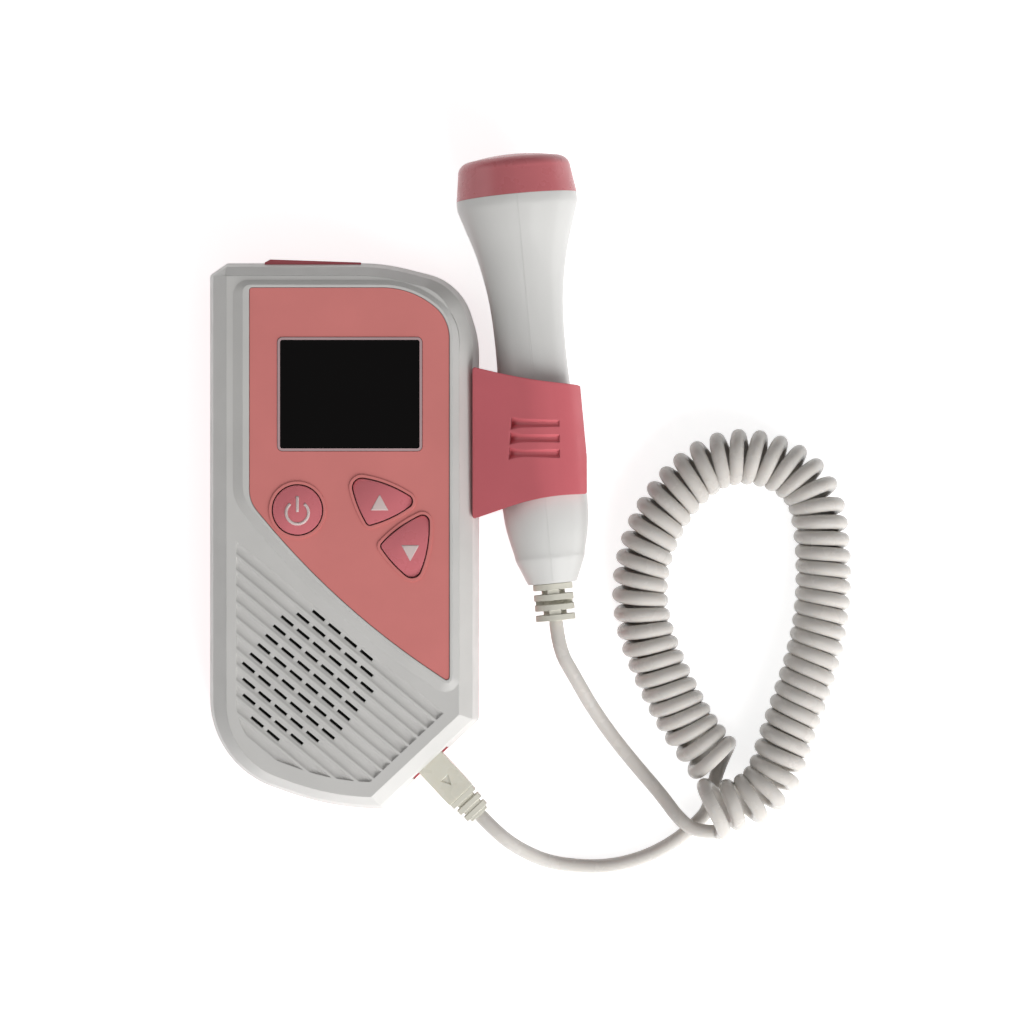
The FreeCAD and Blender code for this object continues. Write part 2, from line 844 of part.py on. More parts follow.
def grooves():
    """The speaker field's grooves, as round bars clipped to the field."""
    field = groove_field()
    angle = -size("groove_angle")
    depth = size("groove_depth")
    radius = ((size("groove_width") / 2) ** 2 + depth ** 2) / (2 * depth)
    middle = Vector(-size("speaker_x"), -size("speaker_y"), height(RIM) - depth + radius)
    length = 4 * size("case_half_width")
    along = Rotation(Vector(0, 0, 1), turned(Vector(1, 0, 0), angle))
    clipped = []
    for row in range(int(size("groove_rows"))):
        across = size("groove_first") - row * size("groove_pitch")
        bar = doc.addObject("Part::Cylinder", "groove_bar")
        bar.Radius = radius
        bar.Height = length
        bar.Placement = Placement(middle + turned(Vector(-length / 2, across, 0), angle), along)
        clipped.append(common("groove", bar, field))
    return group("groove_tool", clipped)


def slot_loops():
    """The speaker's slots: rows along the grooves, each as long as the round of slots allows."""
    angle = -size("groove_angle")
    middle = Vector(-size("speaker_x"), -size("speaker_y"), 0)
    length, width = size("slot_length"), size("slot_width")
    loops = []
    for row in range(int(size("slot_rows"))):
        across = size("groove_first") - row * size("groove_pitch")
        chord = 2 * math.sqrt(size("slot_reach") ** 2 - across ** 2)
        count = int(chord / size("slot_pitch"))
        for k in range(count):
            along = (k - (count - 1) / 2) * size("slot_pitch") - size("slot_shift")
            corners = [
                (along - length / 2, across - width / 2),
                (along + length / 2, across - width / 2),
                (along + length / 2, across + width / 2),
                (along - length / 2, across + width / 2),
            ]
            points = [middle + turned(Vector(x, y, 0), angle) for x, y in corners]
            loops.append(polygon([(point.x, point.y) for point in points]))
    return loops


def button_loops(grow):
    """The three buttons' outlines, each grown by the same distance."""
    arrows = arrow_circles()
    return {
        "power": circle(-size("power_x"), size("power_y"), size("power_radius") + grow),
        "up": bowed_triangle(arrows["up"], grow),
        "down": bowed_triangle(arrows["down"], grow),
    }


def case_envelope():
    """The closed case's outer form, which trims the holder to the drafted side."""
    body = new_body("case_envelope")
    loft(body, "envelope_rear", "Additive", heel_sections())
    loft(body, "envelope_front", "Additive", front_sections(0, bevels(), RIM))
    return body


def front_shell():
    """White front: bevelled rim, raised bed for the panel, corrugated speaker field."""
    body = new_body("front_form")
    loft(body, "skin", "Additive", front_sections(0, bevels(), RIM))
    draft, wall = size("side_draft"), size("wall")
    share = 1 - wall / size("bevel_rise")
    inner = [draft + (bevel - draft) * share + wall for bevel in bevels()]
    loft(body, "hollow", "Subtractive", [
        (case_outline(wall), "sizes.rear_depth"),
        (rounded(inset(case_corners(), inner)), CEILING),
    ])
    corners = panel_corners()
    loft(body, "bed", "Additive", [
        (rounded(bed_foot()), RIM),
        (rounded(inset(corners, [-lip for lip in bed_lips()])), BED),
    ])
    pocket(body, "panel_recess", [rounded(corners)], BED, "sizes.bed_sink")
    ledge = size("window_ledge")
    pocket(body, "window_hole", [rounded_rectangle(
        size("window_x"), size("window_y"), size("window_width") - 2 * ledge,
        size("window_height") - 2 * ledge, size("window_radius"))], BED, "sizes.wall * 2")
    pocket(body, "button_holes", list(button_loops(size("button_gap")).values()),
           BED, "sizes.wall * 2")
    speaker = (-size("speaker_x"), -size("speaker_y"))
    inside = size("speaker_radius") + size("speaker_gap")
    pad(body, "speaker_ring", [
        circle(speaker[0], speaker[1], inside + size("ring_wall")),
        circle(speaker[0], speaker[1], inside),
    ], CEILING + " - sizes.ring_height", "sizes.ring_height")
    posts = case_posts()
    pad(body, "bosses", [circle(x, y, size("boss_radius")) for x, y in posts],
        "sizes.rear_depth", CEILING + " - sizes.rear_depth")
    hole = size("screw_radius") + size("screw_play")
    depth = "sizes.screw_seat + sizes.screw_length + 1 - sizes.rear_depth"
    pocket(body, "pilot_holes", [circle(x, y, hole) for x, y in posts],
           "sizes.rear_depth + " + depth, depth)
    pad(body, "board_posts", [circle(x, y, size("board_post_radius")) for x, y in board_posts()],
        BOARD_TOP, CEILING + " - " + BOARD_TOP)
    hole = size("board_screw_radius") + size("screw_play")
    pocket(body, "board_pilots", [circle(x, y, hole) for x, y in board_posts()],
           BOARD_TOP + " + sizes.board_screw_length - sizes.board_thickness + 0.2",
           "sizes.board_screw_length - sizes.board_thickness + 0.2")
    reach = size("socket_height") / 2 + size("socket_gap")
    width = size("socket_width") + 2 * size("socket_gap")
    pocket(body, "socket_mouth", [foot_rectangle(-2 * size("wall"), size("wall"), width)],
           "sizes.rear_depth + %.4f" % reach, "%.4f" % reach)
    pocket(body, "slots", slot_loops(), RIM, "sizes.wall * 1.5")
    node(cut("front_cut", body, grooves()), "front_shell")


def door_half_width():
    """Half the width of the battery door, which is a little narrower than the bay."""
    return height(BAY_WIDTH) / 2 - size("door_inset")


def door_start():
    """The battery door's low end, past the bay's."""
    return height(BAY_START) - size("door_overlap")


def door_mouth(half_width, start):
    """The opening that the battery door slides in, out through the case's top end."""
    middle = -size("bay_x")
    end = size("case_half_length") + size("lip_reach") + 1
    return polygon([
        (middle - half_width, start),
        (middle + half_width, start),
        (middle + half_width, end),
        (middle - half_width, end),
    ])


def top_lip(envelope):
    """The rear shell's lip along the top end, which laps over the front shell's side."""
    body = new_body("top_lip_body")
    top, left = size("case_half_length"), -size("lip_left")
    outer, inner = top + size("lip_reach"), top - size("lip_depth")
    pad(body, "top_lip", [polygon([
        (left - size("lip_step"), inner),
        (left - size("lip_step"), top),
        (left, outer),
        (size("lip_right"), top),
        (size("lip_right"), inner),
    ])], LIP_BASE, "sizes.rear_depth + sizes.lip_rise - " + LIP_BASE)
    return cut("top_lip_cut", body, envelope)


def rear_shell(envelope):
    """Pink rear: rounded back edge, top lip, cell bay, door tracks and screw posts."""
    body = new_body("rear_form")
    loft(body, "skin", "Additive", heel_sections())
    pocket(body, "hollow", [case_outline(size("wall"))],
           "sizes.rear_depth", "sizes.rear_depth - sizes.floor_wall")
    width, length = height(BAY_WIDTH), height(BAY_LENGTH)
    bay = (-size("bay_x"), height(BAY_START) + length / 2)
    pad(body, "bay", [rectangle(bay[0], bay[1], width + 2 * size("bay_side_wall"),
                                length + 2 * size("bay_wall"))],
        "0", BAY_CEILING + " + sizes.bay_roof")
    posts = case_posts()
    pad(body, "posts", [circle(x, y, size("post_radius")) for x, y in posts],
        "0", "sizes.rear_depth")
    pocket(body, "cell_room", [rectangle(bay[0], bay[1], width, length)],
           BAY_CEILING, BAY_CEILING + " - sizes.door_lip")
    half = door_half_width() + size("door_gap")
    start = door_start() - size("door_gap")
    pocket(body, "door_track", [door_mouth(half + size("door_tongue"), start)],
           TRACK_TOP, TRACK_TOP + " - sizes.door_lip")
    pocket(body, "door_opening", [door_mouth(half, start)], "sizes.door_lip", "sizes.door_lip + 1")
    head = size("screw_head_radius") + 4 * size("screw_play")
    hole = size("screw_radius") + 4 * size("screw_play")
    pocket(body, "screw_wells", [circle(x, y, head) for x, y in posts],
           "sizes.screw_seat", "sizes.screw_seat + 1")
    pocket(body, "screw_holes", [circle(x, y, hole) for x, y in posts],
           "sizes.rear_depth + 1", "sizes.rear_depth + 1 - sizes.screw_seat + 1")
    reach = size("socket_height") / 2 + size("socket_gap")
    width = size("socket_width") + 2 * size("socket_gap")
    pocket(body, "socket_mouth", [foot_rectangle(-2 * size("wall"), size("wall"), width)],
           "sizes.rear_depth", "%.4f" % reach)
    hole = size("holder_screw_radius") + size("screw_play")
    pocket(body, "holder_holes", [circle(y, size("holder_screw_height"), hole)
                                  for y in holder_screw_stations()],
           "sizes.case_half_width + 1", "sizes.wall * 2", plane="YZ_Plane")
    node(joined("rear_with_lip", [body, top_lip(envelope)]), "rear_shell")


def front_panel():
    """Pink panel with the window's hole and a raised ring round each button."""
    body = new_body("front_panel_body")
    gap = size("panel_gap")
    corners = panel_corners()
    margin = size("frame_width") + gap
    window = rounded_rectangle(
        size("window_x"), size("window_y"), size("window_width") + 2 * margin,
        size("window_height") + 2 * margin, size("window_radius") + margin)
    pad(body, "plate", [rounded(inset(corners, [gap] * len(corners)))],
        PANEL_BASE, "sizes.panel_thickness")
    ring = size("rim_ring_width")
    pad(body, "button_rings", list(button_loops(size("button_gap") + ring).values()),
        PANEL_TOP, "sizes.rim_ring_rise")
    pocket(body, "window_hole", [window], PANEL_TOP, "sizes.panel_thickness * 2")
    pocket(body, "button_holes", list(button_loops(size("button_gap")).values()),
           PANEL_TOP + " + sizes.rim_ring_rise", "sizes.panel_thickness * 2")
    node(body, "front_panel")


def window():
    """Black window and the thin pale frame round it."""
    x, y = size("window_x"), size("window_y")
    width, length, radius = size("window_width"), size("window_height"), size("window_radius")
    border = size("frame_width")
    pane = new_body("window_body")
    pad(pane, "pane", [rounded_rectangle(x, y, width, length, radius)],
        PANEL_BASE, "sizes.window_thickness - sizes.frame_rise")
    node(pane, "screen_window")
    frame = new_body("window_frame_body")
    pad(frame, "frame", [
        rounded_rectangle(x, y, width + 2 * border, length + 2 * border, radius + border),
        rounded_rectangle(x, y, width, length, radius),
    ], PANEL_BASE, "sizes.window_thickness")
    node(frame, "window_frame")
    module = new_body("display_body")
    margin = size("display_margin")
    pad(module, "module", [rectangle(x, y, width + margin, length + 2 * margin)],
        BOARD_TOP + " + sizes.display_gap", "sizes.board_drop - 2 * sizes.display_gap")
    node(module, "display_module")


def buttons():
    """Three domed caps, each with a flange that holds it behind the shell."""
    centres = button_centres()
    flanges = button_loops(size("button_flange"))
    top = PANEL_TOP + " + sizes.button_proud"
    base = CEILING + " - sizes.flange_gap - sizes.flange_thickness"
    for name, outline in button_loops(0).items():
        body = new_body(name + "_form")
        pad(body, name + "_flange", [flanges[name]], base, "sizes.flange_thickness")
        pad(body, name + "_cap", [outline], base, "(" + top + ") - (" + base + ")")
        ball = doc.addObject("Part::Sphere", name + "_dome")
        ball.setExpression("Radius", "sizes.dome_radius")
        x, y = centres[name]
        ball.Placement = Placement(Vector(x, y, height(top) - size("dome_radius")), Rotation())
        node(common(name + "_common", body, ball), name + "_button")


def board():
    """Main board with its four screw holes, its components and the three switches."""
    body = new_body("board_body")
    right = size("case_half_width") - size("board_margin_side")
    top = size("case_half_length") - size("board_margin_top")
    low, leg_low = -size("board_low"), size("board_leg_rise") - size("case_half_length")
    cut_off, leg_cut = size("board_cut"), size("board_leg_cut")
    pad(body, "board", [polygon([
        (-right, low),
        (size("board_leg_left"), low),
        (size("board_leg_left"), leg_low),
        (right - leg_cut, leg_low),
        (right, leg_low + leg_cut),
        (right, top - cut_off),
        (right - cut_off, top),
        (-right, top),
    ])], BOARD_BASE, "sizes.board_thickness")
    clear = size("boss_radius") + size("board_notch_gap")
    pocket(body, "boss_notches", [circle(x, y, clear) for x, y in case_posts()],
           BOARD_TOP, "sizes.board_thickness * 2")
    hole = size("board_screw_radius") + size("screw_play") * 3
    pocket(body, "screw_holes", [circle(x, y, hole) for x, y in board_posts()],
           BOARD_TOP, "sizes.board_thickness * 2")
    node(body, "main_board")
    chips = []
    for name, (x, y) in CHIP_PLACES.items():
        width, length = "sizes.%s_width" % name, "sizes.%s_length" % name
        chips.append(box(name, ["%s - %s / 2" % (x, width), "%s - %s / 2" % (y, length), BOARD_TOP],
                         [width, length, "sizes.chip_height"]))
    node(group("chips", chips), "board_components")
    switches = []
    rise = " - ".join("sizes." + name for name in (
        "board_drop", "flange_gap", "flange_thickness", "switch_height", "button_travel",
        "plunger_gap"))
    for x, y in button_centres().values():
        half = size("switch_side") / 2
        case = box("switch_case", ["%.4f" % (x - half), "%.4f" % (y - half), BOARD_TOP],
                   ["sizes.switch_side", "sizes.switch_side", "sizes.switch_height"])
        plunger = cylinder("switch_plunger", "sizes.plunger_radius", rise,
                           ["%.4f" % x, "%.4f" % y, BOARD_TOP + " + sizes.switch_height"])
        switches.append(joined("switch", [case, plunger]))
    node(group("switches", switches), "tact_switches")


def speaker():
    """Loudspeaker below the field of slots: cloth, frame, cone and magnet."""
    x, y = "-sizes.speaker_x", "-sizes.speaker_y"
    top = "(" + CEILING + " - sizes.cloth_thickness)"
    cloth = cylinder("cloth", "sizes.speaker_radius - sizes.speaker_gap", "sizes.cloth_thickness",
                     [x, y, top])
    node(cloth, "speaker_cloth")
    radius, basket = size("speaker_radius"), size("basket_radius")
    rim, depth = size("speaker_rim"), size("speaker_depth")
    sheet_wall = size("cone_thickness")
    down = Placement(Vector(height(x), height(y), height(top)), Rotation(Vector(1, 0, 0), -90))
    frame = new_body("speaker_frame_body", down)
    revolution(frame, "basket", [polygon([
        (0, radius),
        (rim, radius),
        (rim, radius - rim),
        (depth, basket),
        (depth + rim, basket),
        (depth + rim, 0.3),
        (depth, 0.3),
        (depth, basket - rim),
        (rim / 2, radius - 2 * rim),
        (0, radius - 2 * rim),
    ])])
    node(frame, "speaker_frame")
    cone = new_body("speaker_cone_body", down)
    reach = radius - 2 * rim - 0.4
    revolution(cone, "paper", [polygon([
        (0.2, reach),
        (0.2 + sheet_wall, reach),
        (depth - 0.6, basket / 2),
        (depth - 1.2, 0.3),
        (depth - 1.2 - sheet_wall, 0.3),
        (depth - 0.6 - sheet_wall, basket / 2),
    ])])
    node(cone, "speaker_cone")
    base = top + " - sizes.speaker_depth - sizes.speaker_rim - sizes.magnet_height"
    node(cylinder("magnet", "sizes.magnet_radius", "sizes.magnet_height", [x, y, base]),
         "speaker_magnet")


def cells():
    """Two cells head to tail in the bay, with their contact plates and springs."""
    plate = size("plate_thickness")
    start = height(BAY_START) + plate
    end = height(BAY_START + " + " + BAY_LENGTH) - plate
    length, nub = size("cell_length"), size("cell_nub_length")
    offset = size("cell_radius") + size("cell_gap") / 2
    springs = []
    for number, side in enumerate((-1, 1), start=1):
        x = -size("bay_x") + side * offset
        # The first cell's nub touches the far plate, the second one's the near plate.
        nub_end, flat_end = (end, end - length) if side < 0 else (start, start + length)
        low = min(nub_end, flat_end) + (0 if side < 0 else nub)
        can = cylinder("can", "sizes.cell_radius", "sizes.cell_length - sizes.cell_nub_length",
                       ["%.4f" % x, "%.4f" % low, CELL_AXIS], axis=Vector(0, 1, 0))
        tip = (end - nub) if side < 0 else start
        button = cylinder("nub", "sizes.cell_nub_radius", "sizes.cell_nub_length",
                          ["%.4f" % x, "%.4f" % tip, CELL_AXIS], axis=Vector(0, 1, 0))
        node(joined("cell", [can, button]), "cell_%d" % number)
        wall_y = start if side < 0 else end
        toward = Vector(0, -side, 0)
        springs.append(coil_spring(Vector(x, wall_y, height(CELL_AXIS)), toward))
    node(group("springs", springs), "battery_springs")
    left = "(-sizes.bay_x - sizes.cell_radius * 1.7)"
    low = "(" + CELL_AXIS + " - sizes.plate_height / 2)"
    plates = [
        box("far_plate", [left, BAY_START + " + " + BAY_LENGTH + " - sizes.plate_thickness", low],
            ["sizes.cell_radius * 3.4", "sizes.plate_thickness", "sizes.plate_height"]),
        box("near_plate_left", [left, BAY_START, low],
            ["sizes.cell_radius * 1.4", "sizes.plate_thickness", "sizes.plate_height"]),
        box("near_plate_right", ["-sizes.bay_x + sizes.cell_radius * 0.3", BAY_START, low],
            ["sizes.cell_radius * 1.4", "sizes.plate_thickness", "sizes.plate_height"]),
    ]
    node(group("plates", plates), "battery_plates")


def coil_spring(base, toward):
    """A conical spring of six-sided wire that stands on a contact plate."""
    wire, radius = size("spring_wire"), size("spring_radius")
    rise = size("spring_length") - 2 * (wire + size("spring_gap"))
    pitch = rise / size("spring_turns")
    helix = Part.makeHelix(pitch, rise, radius, -size("spring_taper"))
    upright = Rotation(Vector(1, 0, 0), 90)
    corners = [Vector(radius, 0, 0) + upright.multVec(on_circle(wire, 60 * k)) for k in range(7)]
    solid = Part.Wire(helix).makePipeShell([Part.makePolygon(corners)], True, True)
    item = doc.addObject("Part::Feature", "spring")
    item.Shape = solid
    lift = toward * (wire + size("spring_gap"))
    item.Placement = Placement(base + lift, Rotation(Vector(0, 0, 1), toward))
    return item


def battery_door():
    """Pink door in the back: a plate with tongues in the shell's tracks and a finger grip."""
    body = new_body("door_body")
    middle, start = -size("bay_x"), door_start()
    end = size("case_half_length") - size("heel_radius") / 2
    width = 2 * door_half_width()
    lift = size("door_lip") + size("door_gap")
    whole = "sizes.door_recess + sizes.door_thickness"
    pad(body, "plate", [rectangle(middle, (start + end) / 2, width, end - start)],
        "sizes.door_recess", "sizes.door_thickness")
    pad(body, "tongues", [rectangle(middle, (start + end) / 2,
                                    width + 2 * size("door_tongue"), end - start)],
        "%.4f" % lift, whole + " - %.4f" % lift)
    first, pitch = end - size("door_grip_start"), size("door_grip_pitch")
    grips = [rectangle(middle, first - k * pitch, size("door_grip_width"),
                       size("door_grip_height")) for k in range(4)]
    pocket(body, "grips", grips, "sizes.door_recess + sizes.door_grip_depth",
           "sizes.door_grip_depth + 1")
    doc.recompute()
    edge = [
        "Edge%d" % (i + 1) for i, e in enumerate(body.Shape.Edges)
        if abs(e.BoundBox.YMin - end) < 1e-4 and abs(e.BoundBox.ZMax - size("door_recess")) < 1e-4
        and e.BoundBox.YLength < 1e-4
    ]
    plate = body.Tip
    chamfer = body.newObject("PartDesign::Chamfer", "end_chamfer")
    chamfer.Base = (plate, edge)
    chamfer.setExpression("Size", "min(sizes.door_end_chamfer; sizes.door_thickness * 0.7)")
    node(body, "battery_door")


def screws():
    """Case screws from the back, board screws from below, holder screws from inside."""
    made = []
    for x, y in case_posts():
        place = ["%g" % x, "%g" % y]
        head = cylinder("screw_head", "sizes.screw_head_radius", "sizes.screw_head_height",
                        place + ["sizes.screw_seat - sizes.screw_head_height"])
        shank = cylinder("screw_shank", "sizes.screw_radius", "sizes.screw_length",
                         place + ["sizes.screw_seat"])
        made.append(joined("screw", [head, shank]))
    node(group("case_screw_set", made), "case_screws")
    made = []
    for x, y in board_posts():
        place = ["%g" % x, "%g" % y]
        head = cylinder("board_screw_head", "sizes.board_screw_head", "sizes.board_thickness * 0.6",
                        place + [BOARD_BASE + " - sizes.board_thickness * 0.6"])
        shank = cylinder("board_screw_shank", "sizes.board_screw_radius", "sizes.board_screw_length",
                         place + [BOARD_BASE])
        made.append(joined("board_screw", [head, shank]))
    node(group("board_screw_set", made), "board_screws")
    made = []
    inside = "(sizes.case_half_width - sizes.wall)"
    for y in holder_screw_stations():
        along = Vector(1, 0, 0)
        head = cylinder("holder_screw_head", "sizes.holder_screw_head", "sizes.wall * 0.7",
                        [inside + " - sizes.wall * 0.7", "%g" % y, "sizes.holder_screw_height"],
                        axis=along)
        shank = cylinder("holder_screw_shank", "sizes.holder_screw_radius",
                         "sizes.holder_screw_length", [inside, "%g" % y,
                                                       "sizes.holder_screw_height"], axis=along)
        made.append(joined("holder_screw", [head, shank]))
    node(group("holder_screw_set", made), "holder_screws")


# ---------------------------------------------------------------- probe and holder

# Points of the handle's side: shares of the way along and of the way in, first from the head to
# the neck, then from the belly to the tail.
FLARE = [(0.07, 0.07), (0.17, 0.23), (0.36, 0.535), (0.55, 0.755), (0.74, 0.91)]
TAPER = [(0.38, 0.115), (0.66, 0.4)]
TAIL_SLOPE = 0.42


def probe_frame():
    """Frame at the top of the probe's head, +Y along its axis and out of the head."""
    x = size("case_half_width") + size("probe_head_out")
    base = Vector(x, size("probe_head_y"), size("probe_height"))
    return Placement(base, Rotation(Vector(0, 0, 1), size("probe_tilt")))


def between(start, stop, shares):
    """Points part of the way from one (station, radius) to another."""
    return [(start[0] + along * (stop[0] - start[0]), start[1] + inward * (stop[1] - start[1]))
            for along, inward in shares]


def probe_curve(depth, tail_station, tail_radius):
    """The handle's side as a smooth curve, moved inwards by depth."""
    head = (size("head_straight"), size("head_radius"))
    neck = (size("neck_start"), size("neck_radius"))
    belly = (size("belly_station"), size("probe_belly_radius"))
    stations = [head] + between(head, neck, FLARE) + [neck, (size("neck_end"), neck[1]), belly]
    stations += between(belly, (size("probe_length"), size("tail_radius")), TAPER)
    stations.append((tail_station, tail_radius + depth))
    curve = Part.BSplineCurve()
    curve.interpolate(
        Points=[Vector(-station, radius - depth, 0) for station, radius in stations],
        InitialTangent=Vector(-1, 0, 0), FinalTangent=Vector(-1, -TAIL_SLOPE, 0))
    return curve


def probe_shells():
    """The handle: two hollow halves that meet in a seam along its middle."""
    wall, head = size("probe_wall"), size("head_radius")
    straight, top, tail = size("head_straight"), size("cap_length"), size("probe_length")
    hole = size("tail_hole_radius")
    inner_tail = size("tail_radius") + 0.6 - wall
    outer = probe_curve(0, tail, size("tail_radius"))
    inner = probe_curve(wall, tail - wall, inner_tail)
    path = [
        Vector(-tail, size("tail_radius"), 0),
        Vector(-tail, hole, 0),
        Vector(wall - tail, hole, 0),
        Vector(wall - tail, inner_tail, 0),
    ]
    ends = [
        Vector(-straight, head - wall, 0),
        Vector(-top, head - wall, 0),
        Vector(-top, head, 0),
        Vector(-straight, head, 0),
    ]
    for side, reverse in (("left", False), ("right", True)):
        loop = [outer]
        loop += [Part.LineSegment(a, b) for a, b in zip(path, path[1:])]
        loop.append(inner)
        loop += [Part.LineSegment(a, b) for a, b in zip(ends, ends[1:])]
        body = new_body("probe_shell_%s_body" % side, probe_frame())
        revolution(body, "half_%s" % side, [loop], angle=180, reverse=reverse)
        node(body, "probe_shell_" + side)


def probe_cap():
    """The pink cap over the probe's sensing face: a cup with a slightly domed top."""
    dome, edge, wall = size("head_dome"), size("cap_edge"), size("cap_wall")
    crown, head, length = size("head_crown_radius"), size("head_radius"), size("cap_length")
    part_way = edge * (1 - math.cos(math.radians(45)))
    inside = head - size("probe_wall")
    body = new_body("probe_cap_body", probe_frame())
    loop = [
        Part.Arc(Vector(0, 0, 0), Vector(-dome / 4, (crown - edge) / 2, 0),
                 Vector(-dome, crown - edge, 0)),
        Part.Arc(Vector(-dome, crown - edge, 0), Vector(-dome - part_way, crown - part_way, 0),
                 Vector(-dome - edge, crown, 0)),
    ]
    points = [
        (-dome - edge, crown),
        (-length, head),
        (-length, inside),
        (-dome - 2 * wall, inside),
        (-dome - wall, inside - wall),
        (-dome - wall, 0),
        (0, 0),
    ]
    corners = [Vector(x, y, 0) for x, y in points]
    loop += [Part.LineSegment(a, b) for a, b in zip(corners, corners[1:])]
    revolution(body, "cup", [loop])
    node(body, "probe_cap")


def probe_inside():
    """The two half-round elements, their backing and the probe's board."""
    frame = probe_frame()
    down = Rotation(Vector(1, 0, 0), 90)
    start = size("head_dome") + size("cap_wall")
    radius = "sizes.head_radius - sizes.probe_wall - sizes.cap_wall - sizes.piezo_gap"
    halves = []
    for number, turn in enumerate((0, 180)):
        half = doc.addObject("Part::Cylinder", "element")
        half.setExpression("Radius", radius)
        half.setExpression("Height", "sizes.piezo_thickness")
        half.Angle = 180
        lift = size("piezo_gap") / 2 * (1 if number == 0 else -1)
        local = Placement(Vector(0, -start, lift), down)
        spin = Placement(Vector(), Rotation(Vector(0, 0, 1), turn))
        half.Placement = frame.multiply(local).multiply(spin)
        halves.append(half)
    node(group("elements", halves), "piezo_elements")
    after = "(-sizes.head_dome - sizes.cap_wall - sizes.piezo_thickness)"
    node(cylinder("backing", radius, "sizes.backing_length", ["0", after, "0"],
                  placement=frame, axis=Vector(0, -1, 0)), "acoustic_backing")
    node(box("probe_board_block", [
        "-sizes.probe_board_width / 2",
        "-sizes.probe_board_start - sizes.probe_board_length",
        "-sizes.probe_board_thickness / 2",
    ], [
        "sizes.probe_board_width",
        "sizes.probe_board_length",
        "sizes.probe_board_thickness",
    ], placement=frame), "probe_board")


def probe_boot():
    """Flexible strain relief: a core with discs, bridged in turn, anchored in the handle's end."""
    tail, inside = size("probe_length"), size("probe_length") - size("probe_wall")
    core, disc, slot = size("boot_core_radius"), size("boot_radius"), size("boot_slot")
    flange, play = size("boot_anchor_radius"), size("boot_play")
    discs = int(size("boot_discs"))
    thickness = (size("boot_length") - play - slot * (discs - 1)) / discs
    points = [
        (size("boot_anchor_length") - inside, 0),
        (size("boot_anchor_length") - inside, flange),
        (-inside, flange),
        (-inside, core),
    ]
    starts = [tail + play + k * (thickness + slot) for k in range(discs)]
    for station in starts:
        points += [(-station, core), (-station, disc), (-station - thickness, disc),
                   (-station - thickness, core)]
    points.append((-tail - size("boot_length"), 0))
    body = new_body("probe_boot_body", probe_frame())
    revolution(body, "boot", [polygon(points)])
    width, reach = size("boot_web"), 2 * size("boot_web_reach")
    for k, station in enumerate(starts[1:]):
        upright = k % 2 == 0
        web = rectangle(0, 0, width if upright else reach, reach if upright else width)
        pad(body, "web_%d" % (k + 1), [web], "%.4f" % (station - slot), "sizes.boot_slot",
            plane="XZ_Plane")
    node(body, "probe_boot")


def on_circle(radius, degrees):
    """A point of a circle about the sketch's origin."""
    angle = math.radians(degrees)
    return Vector(radius * math.cos(angle), radius * math.sin(angle), 0)


def jaw_loop(tip, root, side):
    """One jaw: an arc from its tip to its root, then a web along the tangent."""
    inner = size("clip_radius")
    outer = inner + size("clip_wall")
    reach = on_circle(size("case_half_width") * 0.75, root + 90 * side)
    middle = (tip + root) / 2
    return [
        Part.Arc(on_circle(outer, tip), on_circle(outer, middle), on_circle(outer, root)),
        Part.LineSegment(on_circle(outer, root), on_circle(outer, root) + reach),
        Part.LineSegment(on_circle(outer, root) + reach, on_circle(inner, root) + reach),
        Part.LineSegment(on_circle(inner, root) + reach, on_circle(inner, root)),
        Part.Arc(on_circle(inner, root), on_circle(inner, middle), on_circle(inner, tip)),
        Part.LineSegment(on_circle(inner, tip), on_circle(outer, tip)),
    ]


def holder_outline():
    """The holder seen from the front, from the case's drafted side to its right edge."""
    head = size("case_half_width") + size("probe_head_out")
    left, right = size("case_half_width") - size("side_draft"), head + size("holder_reach")
    edge = size("holder_edge_radius")
    return rounded([
        (left, size("holder_high"), edge),
        (head + size("holder_turn_high_x"), size("holder_turn_high_y"),
         size("holder_turn_high_radius")),
        (right, size("holder_right_high"), size("holder_corner_radius")),
        (right, size("holder_right_low"), edge),
        (head + size("holder_turn_low_x"), size("holder_turn_low_y"),
         size("holder_turn_low_radius")),
        (left, size("holder_low"), edge),
    ])


def grip_grooves():
    """Three grooves with slanted walls across the front of the clip."""
    axis = probe_frame().multVec(Vector(0, size("grip_middle") - size("probe_head_y"), 0))
    frame = Placement(axis, Rotation(Vector(0, 1, 0), -size("grip_turn")))
    outer = size("clip_radius") + size("clip_wall")
    depth, half = size("grip_depth"), size("grip_width") / 2
    rings = []
    for k in (-1, 0, 1):
        station = k * size("grip_pitch")
        body = new_body("grip_ring_%d" % (k + 2), frame)
        ring = revolution(body, "grip_%d" % (k + 2), [polygon([
            (station - half, outer - depth),
            (station + half, outer - depth),
            (station + half + 2 * depth, outer + depth),
            (station - half - 2 * depth, outer + depth),
        ])], angle=size("grip_span"))
        ring.Midplane = True
        rings.append(body)
    return group("grip_tool", rings)


